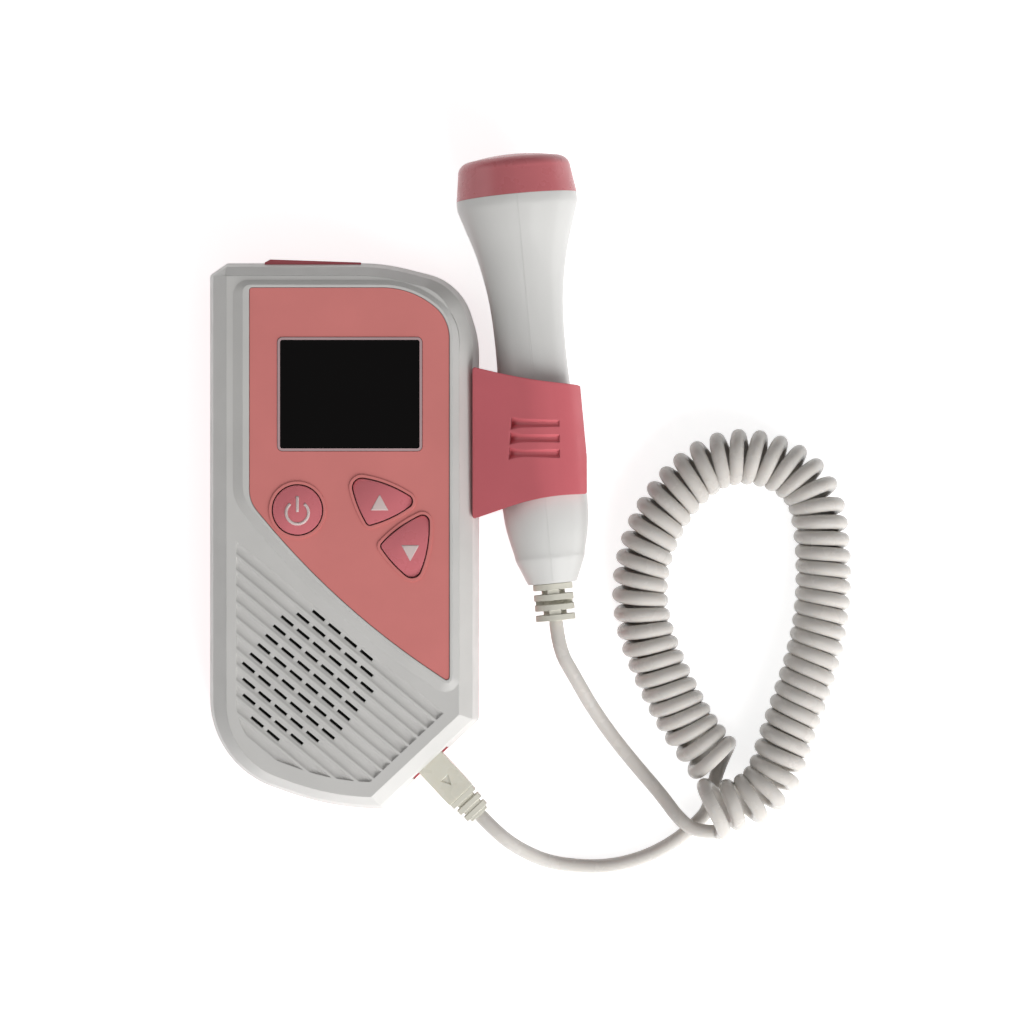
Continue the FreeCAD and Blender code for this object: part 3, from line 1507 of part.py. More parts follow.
def probe_holder(envelope):
    """C clip with two webs and a plate screwed to the case's side; three grip grooves."""
    clip = new_body("clip_form", probe_frame())
    opening, spare = size("clip_opening"), size("clip_spare")
    loops = [jaw_loop(opening, size("web_angle"), 1), jaw_loop(-opening, -90, -1)]
    start = size("probe_head_y") - size("holder_high") - spare
    length = size("holder_high") - size("holder_low") + 2 * spare
    pad(clip, "clip", loops, "%.4f" % start, "%.4f" % length, plane="XZ_Plane")
    gripped = cut("clip_gripped", clip, grip_grooves())
    low = "(sizes.probe_height - sizes.clip_radius - sizes.clip_wall)"
    plate = box("holder_plate", [
        "sizes.case_half_width - sizes.wall",
        "sizes.holder_low + sizes.plate_margin",
        low,
    ], [
        "sizes.wall + sizes.holder_plate",
        "sizes.holder_high - sizes.holder_low - 2 * sizes.plate_margin",
        "sizes.probe_height + sizes.holder_plate_rise - " + low,
    ])
    silhouette = new_body("holder_silhouette")
    pad(silhouette, "silhouette", [holder_outline()], "0", "sizes.probe_height * 2")
    form = common("holder_trimmed", joined("holder_form", [gripped, plate]), silhouette)
    holes = [
        cylinder("holder_hole", "sizes.holder_screw_radius + sizes.screw_play",
                 "sizes.holder_screw_length",
                 ["sizes.case_half_width - sizes.wall", "%g" % y, "sizes.holder_screw_height"],
                 axis=Vector(1, 0, 0))
        for y in holder_screw_stations()
    ]
    seated = cut("holder_seated", form, envelope)
    node(cut("holder_drilled", seated, group("holder_holes", holes)), "probe_holder")


# ---------------------------------------------------------------- socket and plug

def foot_box(name, start, stop, half_width, low, high):
    """A block in the slanted corner's frame, between two distances out of its face."""
    item = doc.addObject("Part::Box", name)
    item.Length = stop - start
    item.Width = 2 * half_width
    item.Height = high - low
    item.Placement = foot_frame().multiply(Placement(Vector(start, -half_width, low), Rotation()))
    return item


def contact_rows():
    """Offsets of the four contacts across the plug."""
    return [(k - 1.5) * size("contact_pitch") for k in range(4)]


def contact_blocks(name, start, stop, low, high, width):
    """Four narrow blocks side by side, across the plug."""
    blocks = []
    for offset in contact_rows():
        block = foot_box(name, start, stop, width / 2, low, high)
        shift = foot_frame().Rotation.multVec(Vector(0, offset, 0))
        block.Placement = Placement(block.Placement.Base + shift, block.Placement.Rotation)
        blocks.append(block)
    return blocks


def socket():
    """The modular socket behind the slanted corner, with its four spring contacts."""
    recess, depth = size("socket_recess"), size("socket_depth")
    half_width, half_height = size("socket_width") / 2, size("socket_height") / 2
    gap = size("plug_gap")
    plug_top = size("plug_height") / 2 + gap
    room = size("plug_inserted") + gap
    case = foot_box("socket_case", -recess - depth, -recess, half_width, -half_height, half_height)
    cavity = foot_box("socket_cavity", -recess - room, 0, size("plug_width") / 2 + gap,
                      -plug_top, plug_top)
    latch_room = foot_box("latch_room", -recess - room, 0, size("latch_width") / 2 + gap,
                          size("latch_floor") - half_height, 0)
    wire, play = size("contact_width"), size("contact_play")
    channels = contact_blocks("contact_channel", -recess - room, -recess - 1,
                              plug_top - gap, plug_top + wire + 2 * play, wire + 2 * play)
    tool = joined("socket_room", [cavity, latch_room] + channels)
    node(cut("socket_cut", case, tool), "probe_socket")
    wires = contact_blocks("contact_wire", -recess - room + 2 * play, -recess - 1.5,
                           plug_top + play, plug_top + wire, wire)
    node(group("socket_wires", wires), "socket_contacts")


def plug():
    """The modular plug in the socket: body with latch, contacts, and a ribbed boot."""
    recess, inserted, reach = size("socket_recess"), size("plug_inserted"), size("plug_reach")
    half_width, half_height = size("plug_width") / 2, size("plug_height") / 2
    thickness, drop = size("latch_thickness"), size("latch_drop")
    nose = -recess - inserted
    wire, play, contact = size("contact_width"), size("contact_play"), size("contact_length")
    body = new_body("plug_form", foot_frame())
    pad(body, "plug_block", [rectangle((nose + reach) / 2, 0, reach - nose, 2 * half_width)],
        "-sizes.plug_height / 2", "sizes.plug_height")
    slots = [rectangle(nose + contact / 2, offset, contact, wire + 2 * play)
             for offset in contact_rows()]
    pocket(body, "contact_slots", slots, "sizes.plug_height / 2", "sizes.contact_width * 2.5")
    mark, tip = size("mark_size"), size("mark_reach")
    pocket(body, "arrow_mark", [polygon([(tip - mark, -mark), (tip + mark, 0), (tip - mark, mark)])],
           "sizes.plug_height / 2", "sizes.mark_depth")
    root = nose + thickness
    pad(body, "latch", [polygon([
        (root, -half_height),
        (root + drop, -half_height),
        (size("latch_spread"), -half_height - drop + thickness),
        (size("latch_spread"), -half_height - drop),
        (root, -half_height - thickness / 3),
    ])], "-sizes.latch_width / 2", "sizes.latch_width", plane="XZ_Plane")
    node(body, "plug_body")
    blades = contact_blocks("plug_blade", nose + 4 * play, nose + contact - 4 * play,
                            half_height - wire * 2.4, half_height - play, wire)
    node(group("plug_blades", blades), "plug_contacts")
    length, core = size("plug_boot_length"), size("plug_boot_core")
    pieces = [foot_box("boot_core", reach, reach + length, core / 2, -core / 2, core / 2)]
    ribs, step = int(size("plug_boot_ribs")), size("plug_boot_step")
    pitch = length / ribs
    for k in range(ribs):
        start, shrink = reach + k * pitch, step * (k + 1)
        pieces.append(foot_box("boot_rib", start, start + pitch * 0.62, half_width - shrink,
                               shrink - half_height, half_height - shrink))
    node(joined("boot", pieces), "plug_boot")


# ---------------------------------------------------------------- cords

# The routes' points, chosen by hand: height is last. The probe's lead starts at the probe's boot
# and the plug's lead ends at the plug's.
PROBE_LEAD = [
    (57.3, -34.9, 13.0),
    (61.2, -41.9, 8.4),
    (66.2, -49.6, 4.2),
    (72.3, -57.2, 2.1),
    (78.2, -64.9, 3.3),
    (81.9, -69.85, 5.9),
    (86.3, -72.55, 7.0),
    (91.37, -73.4, 7.05),
    (96.46, -72.34, 7.05),
]
CURLY_CORD = [
    (95.4, -67.15, 7.05),
    (101.4, -65.9, 7.05),
    (106.9, -61.1, 7.05),
    (109.8, -51.4, 7.05),
    (114.0, -40.3, 7.05),
    (118.3, -26.5, 7.05),
    (119.9, -13.0, 7.05),
    (119.4, 0.5, 7.05),
    (117.2, 12.2, 7.05),
    (107.2, 20.6, 7.05),
    (94.6, 21.4, 7.05),
    (84.4, 13.2, 7.05),
    (77.0, 2.2, 7.05),
    (73.4, -10.5, 7.05),
    (74.4, -22.4, 7.05),
    (78.7, -33.6, 7.05),
    (83.9, -44.4, 7.05),
    (88.3, -52.3, 7.05),
]
PLUG_LEAD = [
    (88.3, -52.3, 1.75),
    (91.8, -58.6, 1.75),
    (91.7, -65.8, 1.75),
    (88.1, -72.1, 1.75),
    (82.3, -77.2, 1.75),
    (75.2, -80.5, 1.75),
    (66.9, -82.9, 1.75),
    (58.6, -83.1, 1.75),
    (51.0, -81.9, 3.4),
    (44.6, -78.9, 7.6),
]


def tube_path(points):
    """Straight runs joined by tangent arcs, as large as the two runs allow; returns the radii."""
    edges = []
    radii = []
    here = points[0]
    for before, corner, after in zip(points, points[1:], points[2:]):
        back, ahead = unit(before - corner), unit(after - corner)
        half_turn = (math.pi - back.getAngle(ahead)) / 2
        shorter = min((before - corner).Length, (after - corner).Length)
        radius = 0.45 * shorter / math.tan(half_turn)
        reach = 0.45 * shorter
        start, stop = corner + back * reach, corner + ahead * reach
        middle = corner + unit(back + ahead) * (radius / math.cos(half_turn) - radius)
        edges.append(Part.LineSegment(here, start).toShape())
        edges.append(Part.Arc(start, middle, stop).toShape())
        radii.append(radius)
        here = stop
    edges.append(Part.LineSegment(here, points[-1]).toShape())
    return Part.Wire(edges), radii


def cord(label, points, diameter):
    """A plain round tube along a route."""
    path, radii = tube_path(points)
    start = unit(points[1] - points[0])
    section = Part.Wire(Part.makeCircle(diameter / 2, points[0], start))
    solid = path.makePipeShell([section], True, True)
    item = doc.addObject("Part::Feature", label)
    item.Shape = solid
    share = solid.Volume / (math.pi * diameter ** 2 / 4 * path.Length)
    print("%s: length %.1f mm, volume share %.4f, radii %s" % (
        label, path.Length, share, " ".join("%.1f" % radius for radius in radii)))
    return node(item, label)


def cords():
    """The straight lead from the probe, the curly stretch and the straight lead to the plug."""
    frame, end = probe_frame(), size("probe_length") + size("boot_length")
    out = [frame.multVec(Vector(0, -end - run, 0)) for run in (0, size("exit_run"))]
    cord("probe_lead", out + [Vector(*point) for point in PROBE_LEAD], size("cord_diameter"))
    cord("curly_cord", [Vector(*point) for point in CURLY_CORD], size("coil_diameter"))
    frame, end = foot_frame(), size("plug_reach") + size("plug_boot_length")
    back = [frame.multVec(Vector(end + run, 0, 0)) for run in (size("plug_exit_run"), 0)]
    cord("plug_lead", [Vector(*point) for point in PLUG_LEAD] + back, size("cord_diameter"))


# ---------------------------------------------------------------- the whole

def build():
    """Every sub-part, in one document."""
    envelope = case_envelope()
    front_shell()
    rear_shell(envelope)
    front_panel()
    window()
    buttons()
    board()
    speaker()
    cells()
    battery_door()
    screws()
    probe_holder(envelope)
    probe_shells()
    probe_cap()
    probe_inside()
    probe_boot()
    socket()
    plug()
    cords()


def check():
    """Stop where an object failed or a sub-part's shape is missing or broken."""
    failed = [
        item.Name for item in doc.Objects
        if any(state in ("Invalid", "Error") for state in item.State)
    ]
    broken = [item.Label for item in nodes if item.Shape.isNull() or not item.Shape.isValid()]
    if failed or broken:
        raise RuntimeError("failed: %s; broken: %s" % (failed, broken))


def write():
    """One STEP file for each sub-part."""
    os.makedirs("parts", exist_ok=True)
    for item in nodes:
        item.Shape.exportStep("parts/%s.step" % item.Label)
    print("%d sub-parts written" % len(nodes))


build()
doc.recompute()
check()
write()
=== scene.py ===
# %% [markdown]
# # Fetal doppler monitor
# The real object is a hand-held case with a display, three buttons and a ribbed speaker, a
# probe in a clip on its side, and a curly cord from the probe to the plug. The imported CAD
# model is the frame: its pieces are at their real size and place, in metres. This file gives
# every visible piece its finish, lays the free cord and adds the printed symbols. It could
# also rebuild the case as a mesh, but the CAD shells already have their final shape, so
# nothing here moves or resizes them.

# %% Load the frame
import json
import math

import bmesh
import bpy
import numpy as np
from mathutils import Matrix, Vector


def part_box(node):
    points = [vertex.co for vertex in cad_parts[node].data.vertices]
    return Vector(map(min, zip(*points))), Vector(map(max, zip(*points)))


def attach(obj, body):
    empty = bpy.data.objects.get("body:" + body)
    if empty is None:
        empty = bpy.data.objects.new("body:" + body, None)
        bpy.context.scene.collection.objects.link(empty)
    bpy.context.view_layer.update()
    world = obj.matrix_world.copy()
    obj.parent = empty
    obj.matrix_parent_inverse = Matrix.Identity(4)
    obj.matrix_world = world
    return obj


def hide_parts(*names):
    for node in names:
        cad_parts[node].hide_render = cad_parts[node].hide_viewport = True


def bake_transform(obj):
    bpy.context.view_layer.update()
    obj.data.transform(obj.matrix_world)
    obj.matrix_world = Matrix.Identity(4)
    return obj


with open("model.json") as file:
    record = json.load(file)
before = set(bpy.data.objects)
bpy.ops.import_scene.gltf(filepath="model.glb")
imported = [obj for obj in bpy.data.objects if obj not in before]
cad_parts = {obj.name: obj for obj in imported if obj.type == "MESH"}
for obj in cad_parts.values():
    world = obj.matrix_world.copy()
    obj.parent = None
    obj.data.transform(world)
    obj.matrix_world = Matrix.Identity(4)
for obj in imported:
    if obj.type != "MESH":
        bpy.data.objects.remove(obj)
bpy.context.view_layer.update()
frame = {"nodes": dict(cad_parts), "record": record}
nodes = frame["nodes"]
MM = 0.001

# %% [markdown]
# ## Camera
# The monitor lies on its back and is seen from straight above. A near camera with a wide lens
# would show the case's sides and pull the corners apart. A far camera with a long lens keeps
# the sides nearly hidden. The lens isn't guessed: it follows from the camera's distance and
# from the width of the field that has to fit.

# %% Camera
CAMERA_X, CAMERA_Y = 41.75 * MM, 6.0 * MM
CAMERA_HEIGHT = 1.12
FIELD_HEIGHT = 20 * MM        # height above the floor at which FIELD_WIDTH is measured
FIELD_WIDTH = 253.4 * MM
SENSOR = 36.0
NEAREST, FARTHEST = 0.01, 20.0

scene = bpy.context.scene
scene.view_settings.view_transform = "Standard"
camera_data = bpy.data.cameras.new("camera")
camera_data.sensor_width = SENSOR
camera_data.lens = SENSOR * (CAMERA_HEIGHT - FIELD_HEIGHT) / FIELD_WIDTH
camera_data.clip_start = NEAREST
camera_data.clip_end = FARTHEST
camera = bpy.data.objects.new("camera", camera_data)
camera.location = (CAMERA_X, CAMERA_Y, CAMERA_HEIGHT)
scene.collection.objects.link(camera)
scene.camera = camera
print("lens: %.0f mm" % camera_data.lens)

# %% [markdown]
# ## Helpers for finishes
# Moulded plastic is never quite even: it has a fine grain from the tool, faint flow marks and
# a gloss that changes a little from place to place. An image texture would need a file and an
# unwrapped mesh. Noise needs neither, so each finish mixes noise at two or three scales. It is
# read in Object coordinates, so that it stays on the piece when the piece moves.


# %% A material and its noise
def new_material(name):
    """A material with one Principled shader; returns it with its node tree and the shader."""
    material = bpy.data.materials.new(name)
    material.use_nodes = True
    tree = material.node_tree
    return material, tree, tree.nodes["Principled BSDF"]


def object_noise(tree, scale, detail=3.0, roughness=0.5):
    """Noise in Object coordinates; scale counts features per metre."""
    place = tree.nodes.new("ShaderNodeTexCoord")
    noise = tree.nodes.new("ShaderNodeTexNoise")
    noise.inputs["Scale"].default_value = scale
    noise.inputs["Detail"].default_value = detail
    noise.inputs["Roughness"].default_value = roughness
    tree.links.new(place.outputs["Object"], noise.inputs["Vector"])
    return noise.outputs["Fac"]


# %% [markdown]
# The noise then has to become something: a colour between a darker and a paler tone, or a
# number, such as a roughness between two limits. Blender's noise seldom leaves the middle of
# its range, so the ramp and the spread both stretch that middle.

# %% From noise to colour and gloss
DARK_AT, PALE_AT = 0.3, 0.7            # noise values that get a tone's two ends
NOISE_LOW, NOISE_HIGH = 0.35, 0.65     # noise values that are stretched to a gloss's limits


def shade(colour, factor):
    """A colour made darker or paler by a factor."""
    return tuple(min(1.0, channel * factor) for channel in colour)


def two_tones(tree, value, dark, pale):
    """A colour ramp over a value, from a dark to a pale tone."""
    item = tree.nodes.new("ShaderNodeValToRGB")
    for element, position, colour in zip(item.color_ramp.elements, (DARK_AT, PALE_AT),
                                         (dark, pale)):
        element.position = position
        element.color = (*colour, 1.0)
    tree.links.new(value, item.inputs["Fac"])
    return item.outputs["Color"]


def spread(tree, value, low, high):
    """Stretch the middle of a noise over low to high."""
    item = tree.nodes.new("ShaderNodeMapRange")
    item.inputs["From Min"].default_value = NOISE_LOW
    item.inputs["From Max"].default_value = NOISE_HIGH
    item.inputs["To Min"].default_value = low
    item.inputs["To Max"].default_value = high
    tree.links.new(value, item.inputs["Value"])
    return item.outputs["Result"]


# %% [markdown]
# Grain is far too fine to model, so it is a bump: the shader tilts the light as if the surface
# went up and down. A Bevel node goes in front of it. It makes sharp edges catch the light as
# if they had a small radius, which every moulded edge has, and adds no face.

# %% Grain and soft edges
BEVEL_SAMPLES = 4


def grain(tree, shader, height, distance, edge=0.0):
    """Bump from a height; distance is its depth, and edge the radius edges appear to have."""
    item = tree.nodes.new("ShaderNodeBump")
    item.inputs["Distance"].default_value = distance
    tree.links.new(height, item.inputs["Height"])
    tree.links.new(item.outputs["Normal"], shader.inputs["Normal"])
    if edge:
        rounded = tree.nodes.new("ShaderNodeBevel")
        rounded.samples = BEVEL_SAMPLES
        rounded.inputs["Radius"].default_value = edge
        tree.links.new(rounded.outputs["Normal"], item.inputs["Normal"])


# %% [markdown]
# ## Moulded plastic
# The case, the panel, the probe and the cord's jacket are all plastic, and they differ in
# colour, gloss and grain. One function with a few settings suits that better than a copy of
# the same nodes for each. A soft vinyl also lets some light in, so a piece that has a depth
# gets a little subsurface light.

# %% The plastic finish
FLOW_MARKS = 60               # features per metre: marks about 15 mm long
GLOSS_PATCHES = 220           # features per metre: patches about 5 mm wide
INNER_LIGHT = 0.35            # share of the light that travels inside soft vinyl
INNER_REACH = (1.0, 0.85, 0.7)  # how far red, green and blue travel, against the depth


def plastic(name, colour, gloss=(0.38, 0.48), grain_scale=2600, grain_depth=0.012 * MM,
            mottle=0.05, specular=0.5, edge=0.0, depth=0.0):
    """Satin moulded plastic: faint mottling, uneven gloss and the tool's fine grain.

    With a depth, in metres, light also travels that far inside it, as in soft vinyl.
    """
    material, tree, shader = new_material(name)
    tone = two_tones(tree, object_noise(tree, FLOW_MARKS, detail=4),
                     shade(colour, 1 - mottle), shade(colour, 1 + mottle / 2))
    tree.links.new(tone, shader.inputs["Base Color"])
    tree.links.new(spread(tree, object_noise(tree, GLOSS_PATCHES, detail=3), *gloss),
                   shader.inputs["Roughness"])
    shader.inputs["Specular IOR Level"].default_value = specular
    if depth:
        shader.inputs["Subsurface Weight"].default_value = INNER_LIGHT
        shader.inputs["Subsurface Radius"].default_value = INNER_REACH
        shader.inputs["Subsurface Scale"].default_value = depth
    fine = object_noise(tree, grain_scale, detail=2, roughness=0.6)
    grain(tree, shader, fine, grain_depth, edge)
    return material


# %% [markdown]
# ### The case, the buttons and the probe
# The case is two shells of satin plastic, white in front and pink behind, with a pink panel
# let into the front. The probe is handled all day and is the glossiest and smoothest piece.
# The pinks aren't the same: the panel leans to orange, and the buttons and the cap to rose.
# So each gets a colour of its own, and not one pink that is shared.

# %% Finishes of the case and the probe
WHITE = (0.66, 0.65, 0.63)
PINK = (0.69, 0.155, 0.18)
PANEL_PINK = (0.735, 0.235, 0.22)
BUTTON_PINK = (0.70, 0.19, 0.215)
PROBE_WHITE = (0.75, 0.745, 0.725)
CAP_PINK = (0.66, 0.18, 0.20)

finishes = {
    "white_abs": plastic("white_moulding", WHITE, edge=0.35 * MM),
    "pink_abs": plastic("pink_moulding", PINK, gloss=(0.30, 0.42), edge=0.35 * MM),
    "panel_pink": plastic("pink_panel", PANEL_PINK, gloss=(0.34, 0.44), grain_scale=3400,
                          edge=0.2 * MM),
    "button_pink": plastic("pink_button", BUTTON_PINK, gloss=(0.26, 0.34),
                           grain_depth=0.006 * MM, edge=0.3 * MM),
    "probe_white": plastic("white_probe", PROBE_WHITE, gloss=(0.28, 0.32),
                           grain_depth=0.003 * MM, mottle=0.02, edge=0.25 * MM),
    "cap_pink": plastic("pink_cap", CAP_PINK, gloss=(0.25, 0.34),
                        grain_depth=0.006 * MM, edge=0.25 * MM),
}
print("case and probe finishes:", len(finishes))

# %% [markdown]
# ### The cord, its boots and the plug
# The jacket is soft, slightly warm vinyl, the boots are a duller rubber, and the plug is a
# milky moulding. Vinyl and milky plastic let some light in, so the jacket and the plug have a
# depth. It could be a Translucent shader too, but that shows only on very thin pieces.

# %% Finishes of the cord
IVORY = (0.74, 0.72, 0.63)
SOCKET_GREY = (0.5, 0.49, 0.46)
JACKET_GREY = (0.65, 0.62, 0.585)

finishes.update({
    "boot_beige": plastic("beige_boot", IVORY, gloss=(0.5, 0.6), edge=0.2 * MM),
    "plug_clear": plastic("ivory_plug", IVORY, gloss=(0.25, 0.35), edge=0.2 * MM,
                          depth=0.8 * MM),
    "socket_white": plastic("white_socket", SOCKET_GREY, gloss=(0.45, 0.55), edge=0.2 * MM),
    "cord_jacket": plastic("cord_jacket", JACKET_GREY, gloss=(0.20, 0.30), grain_scale=1800,
                           grain_depth=0.008 * MM, mottle=0.04, depth=1.2 * MM),
})
print("with the cord's:", len(finishes))

# %% [markdown]
# ### The window and the print
# The window is a black sheet with a very even gloss. A clear sheet would need a lit display
# behind it, and here the display is off, so a nearly black plastic with a low reflection looks
# the same and renders without noise. Its edging is a thin pale frame, and the ink is matt.

# %% Finishes of the window and the print
WINDOW_BLACK = (0.004, 0.0035, 0.0035)
EDGING = (0.52, 0.36, 0.37)
PALE_INK = (0.74, 0.60, 0.58)

finishes.update({
    "window_black": plastic("black_window", WINDOW_BLACK, gloss=(0.10, 0.16),
                            grain_depth=0.001 * MM, specular=0.12),
    "frame_pale": plastic("pale_edging", EDGING, gloss=(0.3, 0.4)),
    "print_pale": plastic("pale_print", PALE_INK, gloss=(0.5, 0.6), grain_scale=6000,
                          grain_depth=0.004 * MM),
})
print("with the window's:", len(finishes))

# %% [markdown]
# ### The parts inside
# Only a few show: the dust cloth behind the speaker's slots, and the cells and springs when
# the battery door is off. A colour, a gloss and the same fine grain are enough for them. The
# cloth is the roughest, and its deeper grain stands for the weave.

# %% Finishes of the parts inside
finishes.update({
    "lcd": plastic("display_glass", (0.2, 0.24, 0.2), gloss=(0.2, 0.3)),
    "circuit_board": plastic("board_green", (0.03, 0.14, 0.06), gloss=(0.3, 0.5)),
    "chips": plastic("chip_black", (0.02, 0.02, 0.022), gloss=(0.5, 0.6)),
    "speaker_fabric": plastic("dust_cloth", (0.006, 0.006, 0.006), gloss=(0.8, 0.9),
                              grain_scale=5000, grain_depth=0.05 * MM),
    "cone_paper": plastic("cone_paper", (0.05, 0.05, 0.05), gloss=(0.8, 0.9)),
    "backing": plastic("cast_backing", (0.05, 0.05, 0.052), gloss=(0.6, 0.7)),
    "piezo": plastic("fired_ceramic", (0.35, 0.3, 0.2), gloss=(0.5, 0.6)),
    "cell_jacket": plastic("cell_jacket", (0.05, 0.12, 0.28), gloss=(0.25, 0.35)),
})
print("with the inner parts':", len(finishes))

# %% [markdown]
# ## Metal
# Screws, springs and contacts are plated. A metal has no colour under its gloss, so the tone
# goes into the reflection and the Metallic setting is full. Finer noise than the plastic's
# stands for the marks of rolling and plating.


# %% Metal
def metal(name, colour, gloss=(0.22, 0.34)):
    """Plated or rolled metal with fine marks."""
    material, tree, shader = new_material(name)
    tone = two_tones(tree, object_noise(tree, 400), shade(colour, 0.9), colour)
    tree.links.new(tone, shader.inputs["Base Color"])
    shader.inputs["Metallic"].default_value = 1.0
    tree.links.new(spread(tree, object_noise(tree, 1500), *gloss), shader.inputs["Roughness"])
    grain(tree, shader, object_noise(tree, 4000), 0.004 * MM)
    return material


finishes.update({
    "switch_metal": metal("switch_steel", (0.6, 0.6, 0.6)),
    "speaker_steel": metal("basket_steel", (0.2, 0.2, 0.21)),
    "magnet": metal("ferrite", (0.12, 0.12, 0.125), gloss=(0.5, 0.6)),
    "spring_steel": metal("nickel_steel", (0.72, 0.71, 0.68)),
    "screw_steel": metal("zinc_steel", (0.62, 0.62, 0.63)),
    "contact_gold": metal("contact_gold", (0.86, 0.62, 0.25)),
})
print("finishes:", len(finishes))

# %% [markdown]
# ## Dressed pieces
# The battery door, the two boots and the plug are small pieces whose crisp CAD corners a mould
# would have rounded. The Bevel node only shades an edge, and on such small pieces the rounding
# shows in the outline too. So a copy of each has its doubled points merged, its flat faces
# joined, and its edges broken by a narrow Bevel modifier, and it stands for the node.

# %% Break the edges of a copy
EDGE_ANGLE = 28.0             # degrees; a smaller turn is a curve, and gets no bevel
FLAT_ANGLE = 0.4              # degrees; faces that turn less are joined
MERGE_WITHIN = 0.001 * MM


def dressed(node, width, slot_name, body):
    """A merged copy of a node with its edges broken by a narrow bevel; it stands for it."""
    mesh = nodes[node].data.copy()
    mesh.name = node + "_skin"
    shape = bmesh.new()
    shape.from_mesh(mesh)
    bmesh.ops.remove_doubles(shape, verts=shape.verts, dist=MERGE_WITHIN)
    bmesh.ops.dissolve_limit(shape, angle_limit=math.radians(FLAT_ANGLE), verts=shape.verts,
                             edges=shape.edges)
    shape.to_mesh(mesh)
    shape.free()
    mesh.materials.clear()
    mesh.materials.append(finishes[slot_name])
    mesh.polygons.foreach_set("use_smooth", [True] * len(mesh.polygons))
    mesh.set_sharp_from_angle(angle=math.radians(EDGE_ANGLE))
    piece = bpy.data.objects.new(node + "_skin", mesh)
    scene.collection.objects.link(piece)
    bevel = piece.modifiers.new("broken_edges", "BEVEL")
    bevel.width = width
    bevel.segments = 2
    bevel.limit_method = "ANGLE"
    bevel.angle_limit = math.radians(EDGE_ANGLE)
    bevel.harden_normals = True
    bevel.use_clamp_overlap = False
    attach(piece, body)
    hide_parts(node)


# %% Dress the small pieces
slots = {row["node"]: row["material_slot"] for row in frame["record"]["subparts"]}
body_of = {
    node: body for body, members in frame["record"]["behaviour"]["bodies"].items()
    for node in members
}
EDGES = {
    "battery_door": 0.15 * MM,
    "probe_boot": 0.15 * MM,
    "plug_body": 0.12 * MM,
    "plug_boot": 0.12 * MM,
}
for node, width in EDGES.items():
    dressed(node, width, slots[node], body_of[node])
print("dressed:", ", ".join(EDGES))

# %% [markdown]
# ## The other nodes
# The case, the panel, the buttons, the holder and the probe have wide curved faces, and their
# CAD meshes carry the exact normals of those faces. Merging a copy would throw them away and
# blur the speaker's grooves, so these meshes stay as they are and only get their finish.

# %% Finish the other nodes
CORD_NODES = ("probe_lead", "curly_cord", "plug_lead")

plain = [node for node in nodes if node not in EDGES and node not in CORD_NODES]
for node in plain:
    materials = nodes[node].data.materials
    materials.clear()
    materials.append(finishes[slots[node]])
print("finished as they are:", len(plain))

# %% [markdown]
# ## Helpers for new shapes
# A new piece is a grid of points from a formula. Building it face by face by hand would be
# slow to write and hard to change. With a grid, numpy works out all points at once, and the
# faces between neighbouring rows and columns always follow the same rule.

# %% Put a piece into the scene
SHARP_ANGLE = 60.0            # degrees; shading breaks at an edge that turns more than this


def add_piece(name, points, faces, material, body):
    """A mesh object at the origin from points in metres; it rides on a body, if it has one."""
    mesh = bpy.data.meshes.new(name)
    mesh.from_pydata(np.asarray(points).reshape(-1, 3).tolist(), [], faces)
    mesh.materials.append(material)
    mesh.polygons.foreach_set("use_smooth", [True] * len(mesh.polygons))
    mesh.update()
    mesh.set_sharp_from_angle(angle=math.radians(SHARP_ANGLE))
    piece = bpy.data.objects.new(name, mesh)
    scene.collection.objects.link(piece)
    if body:
        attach(piece, body)
    return piece


def grid_faces(rows, columns, wrap=False):
    """Quads between neighbouring rows and columns; wrap joins the last column to the first."""
    row, column = np.meshgrid(np.arange(rows - 1), np.arange(columns - (not wrap)),
                              indexing="ij")
    after = (column + 1) % columns
    quads = np.stack([
        row * columns + column,
        row * columns + after,
        (row + 1) * columns + after,
        (row + 1) * columns + column,
    ], axis=-1)
    return quads.reshape(-1, 4).tolist()


print("the quad of a 2 by 2 grid:", grid_faces(2, 2))

# %% [markdown]
# ## Printed symbols
# Each button carries a plain symbol in pale ink: a ring with a bar for power, and triangles
# for up and down. An image texture would blur close by, and signs cut into the button don't
# look like ink. So the ink is a very thin piece of its own. It lies on the button's dome: its
# height comes from the sphere, and a thin Solidify gives it an underside.

# %% Ink on a dome
DOME_RADIUS = 27.0 * MM
INK = 0.03 * MM


def on_dome(x, y, middle, top):
    """Points on a sphere: z = top - R + sqrt(R^2 - distance from the middle^2), plus the ink."""
    away = (x - middle[0]) ** 2 + (y - middle[1]) ** 2
    z = top - DOME_RADIUS + np.sqrt(DOME_RADIUS ** 2 - away) + INK
    return np.stack([x, y, z], axis=-1)


def top_of(node):
    """Height of a node's highest point."""
    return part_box(node)[1][2]


def ink_piece(name, patches, node):
    """One mesh of several grids; each grid's faces point up. It rides on the node's body."""
    points, faces, first = [], [], 0
    for patch in patches:
        rows, columns = patch.shape[:2]
        points.append(patch.reshape(-1, 3))
        faces += [[first + corner for corner in face] for face in grid_faces(rows, columns)]
        first += rows * columns
    piece = add_piece(name, np.concatenate(points), faces, finishes["print_pale"], node)
    skin = piece.modifiers.new("ink_thickness", "SOLIDIFY")
    skin.thickness = 2 * INK
    skin.offset = -1.0
    print("%s: %d points" % (name, first))


# %% [markdown]
# ### The power symbol
# A ring that is open at the top, with a bar in the opening. The ring is a grid in polar
# coordinates, an angle along it and three radii across, and the bar is a grid in x and y.

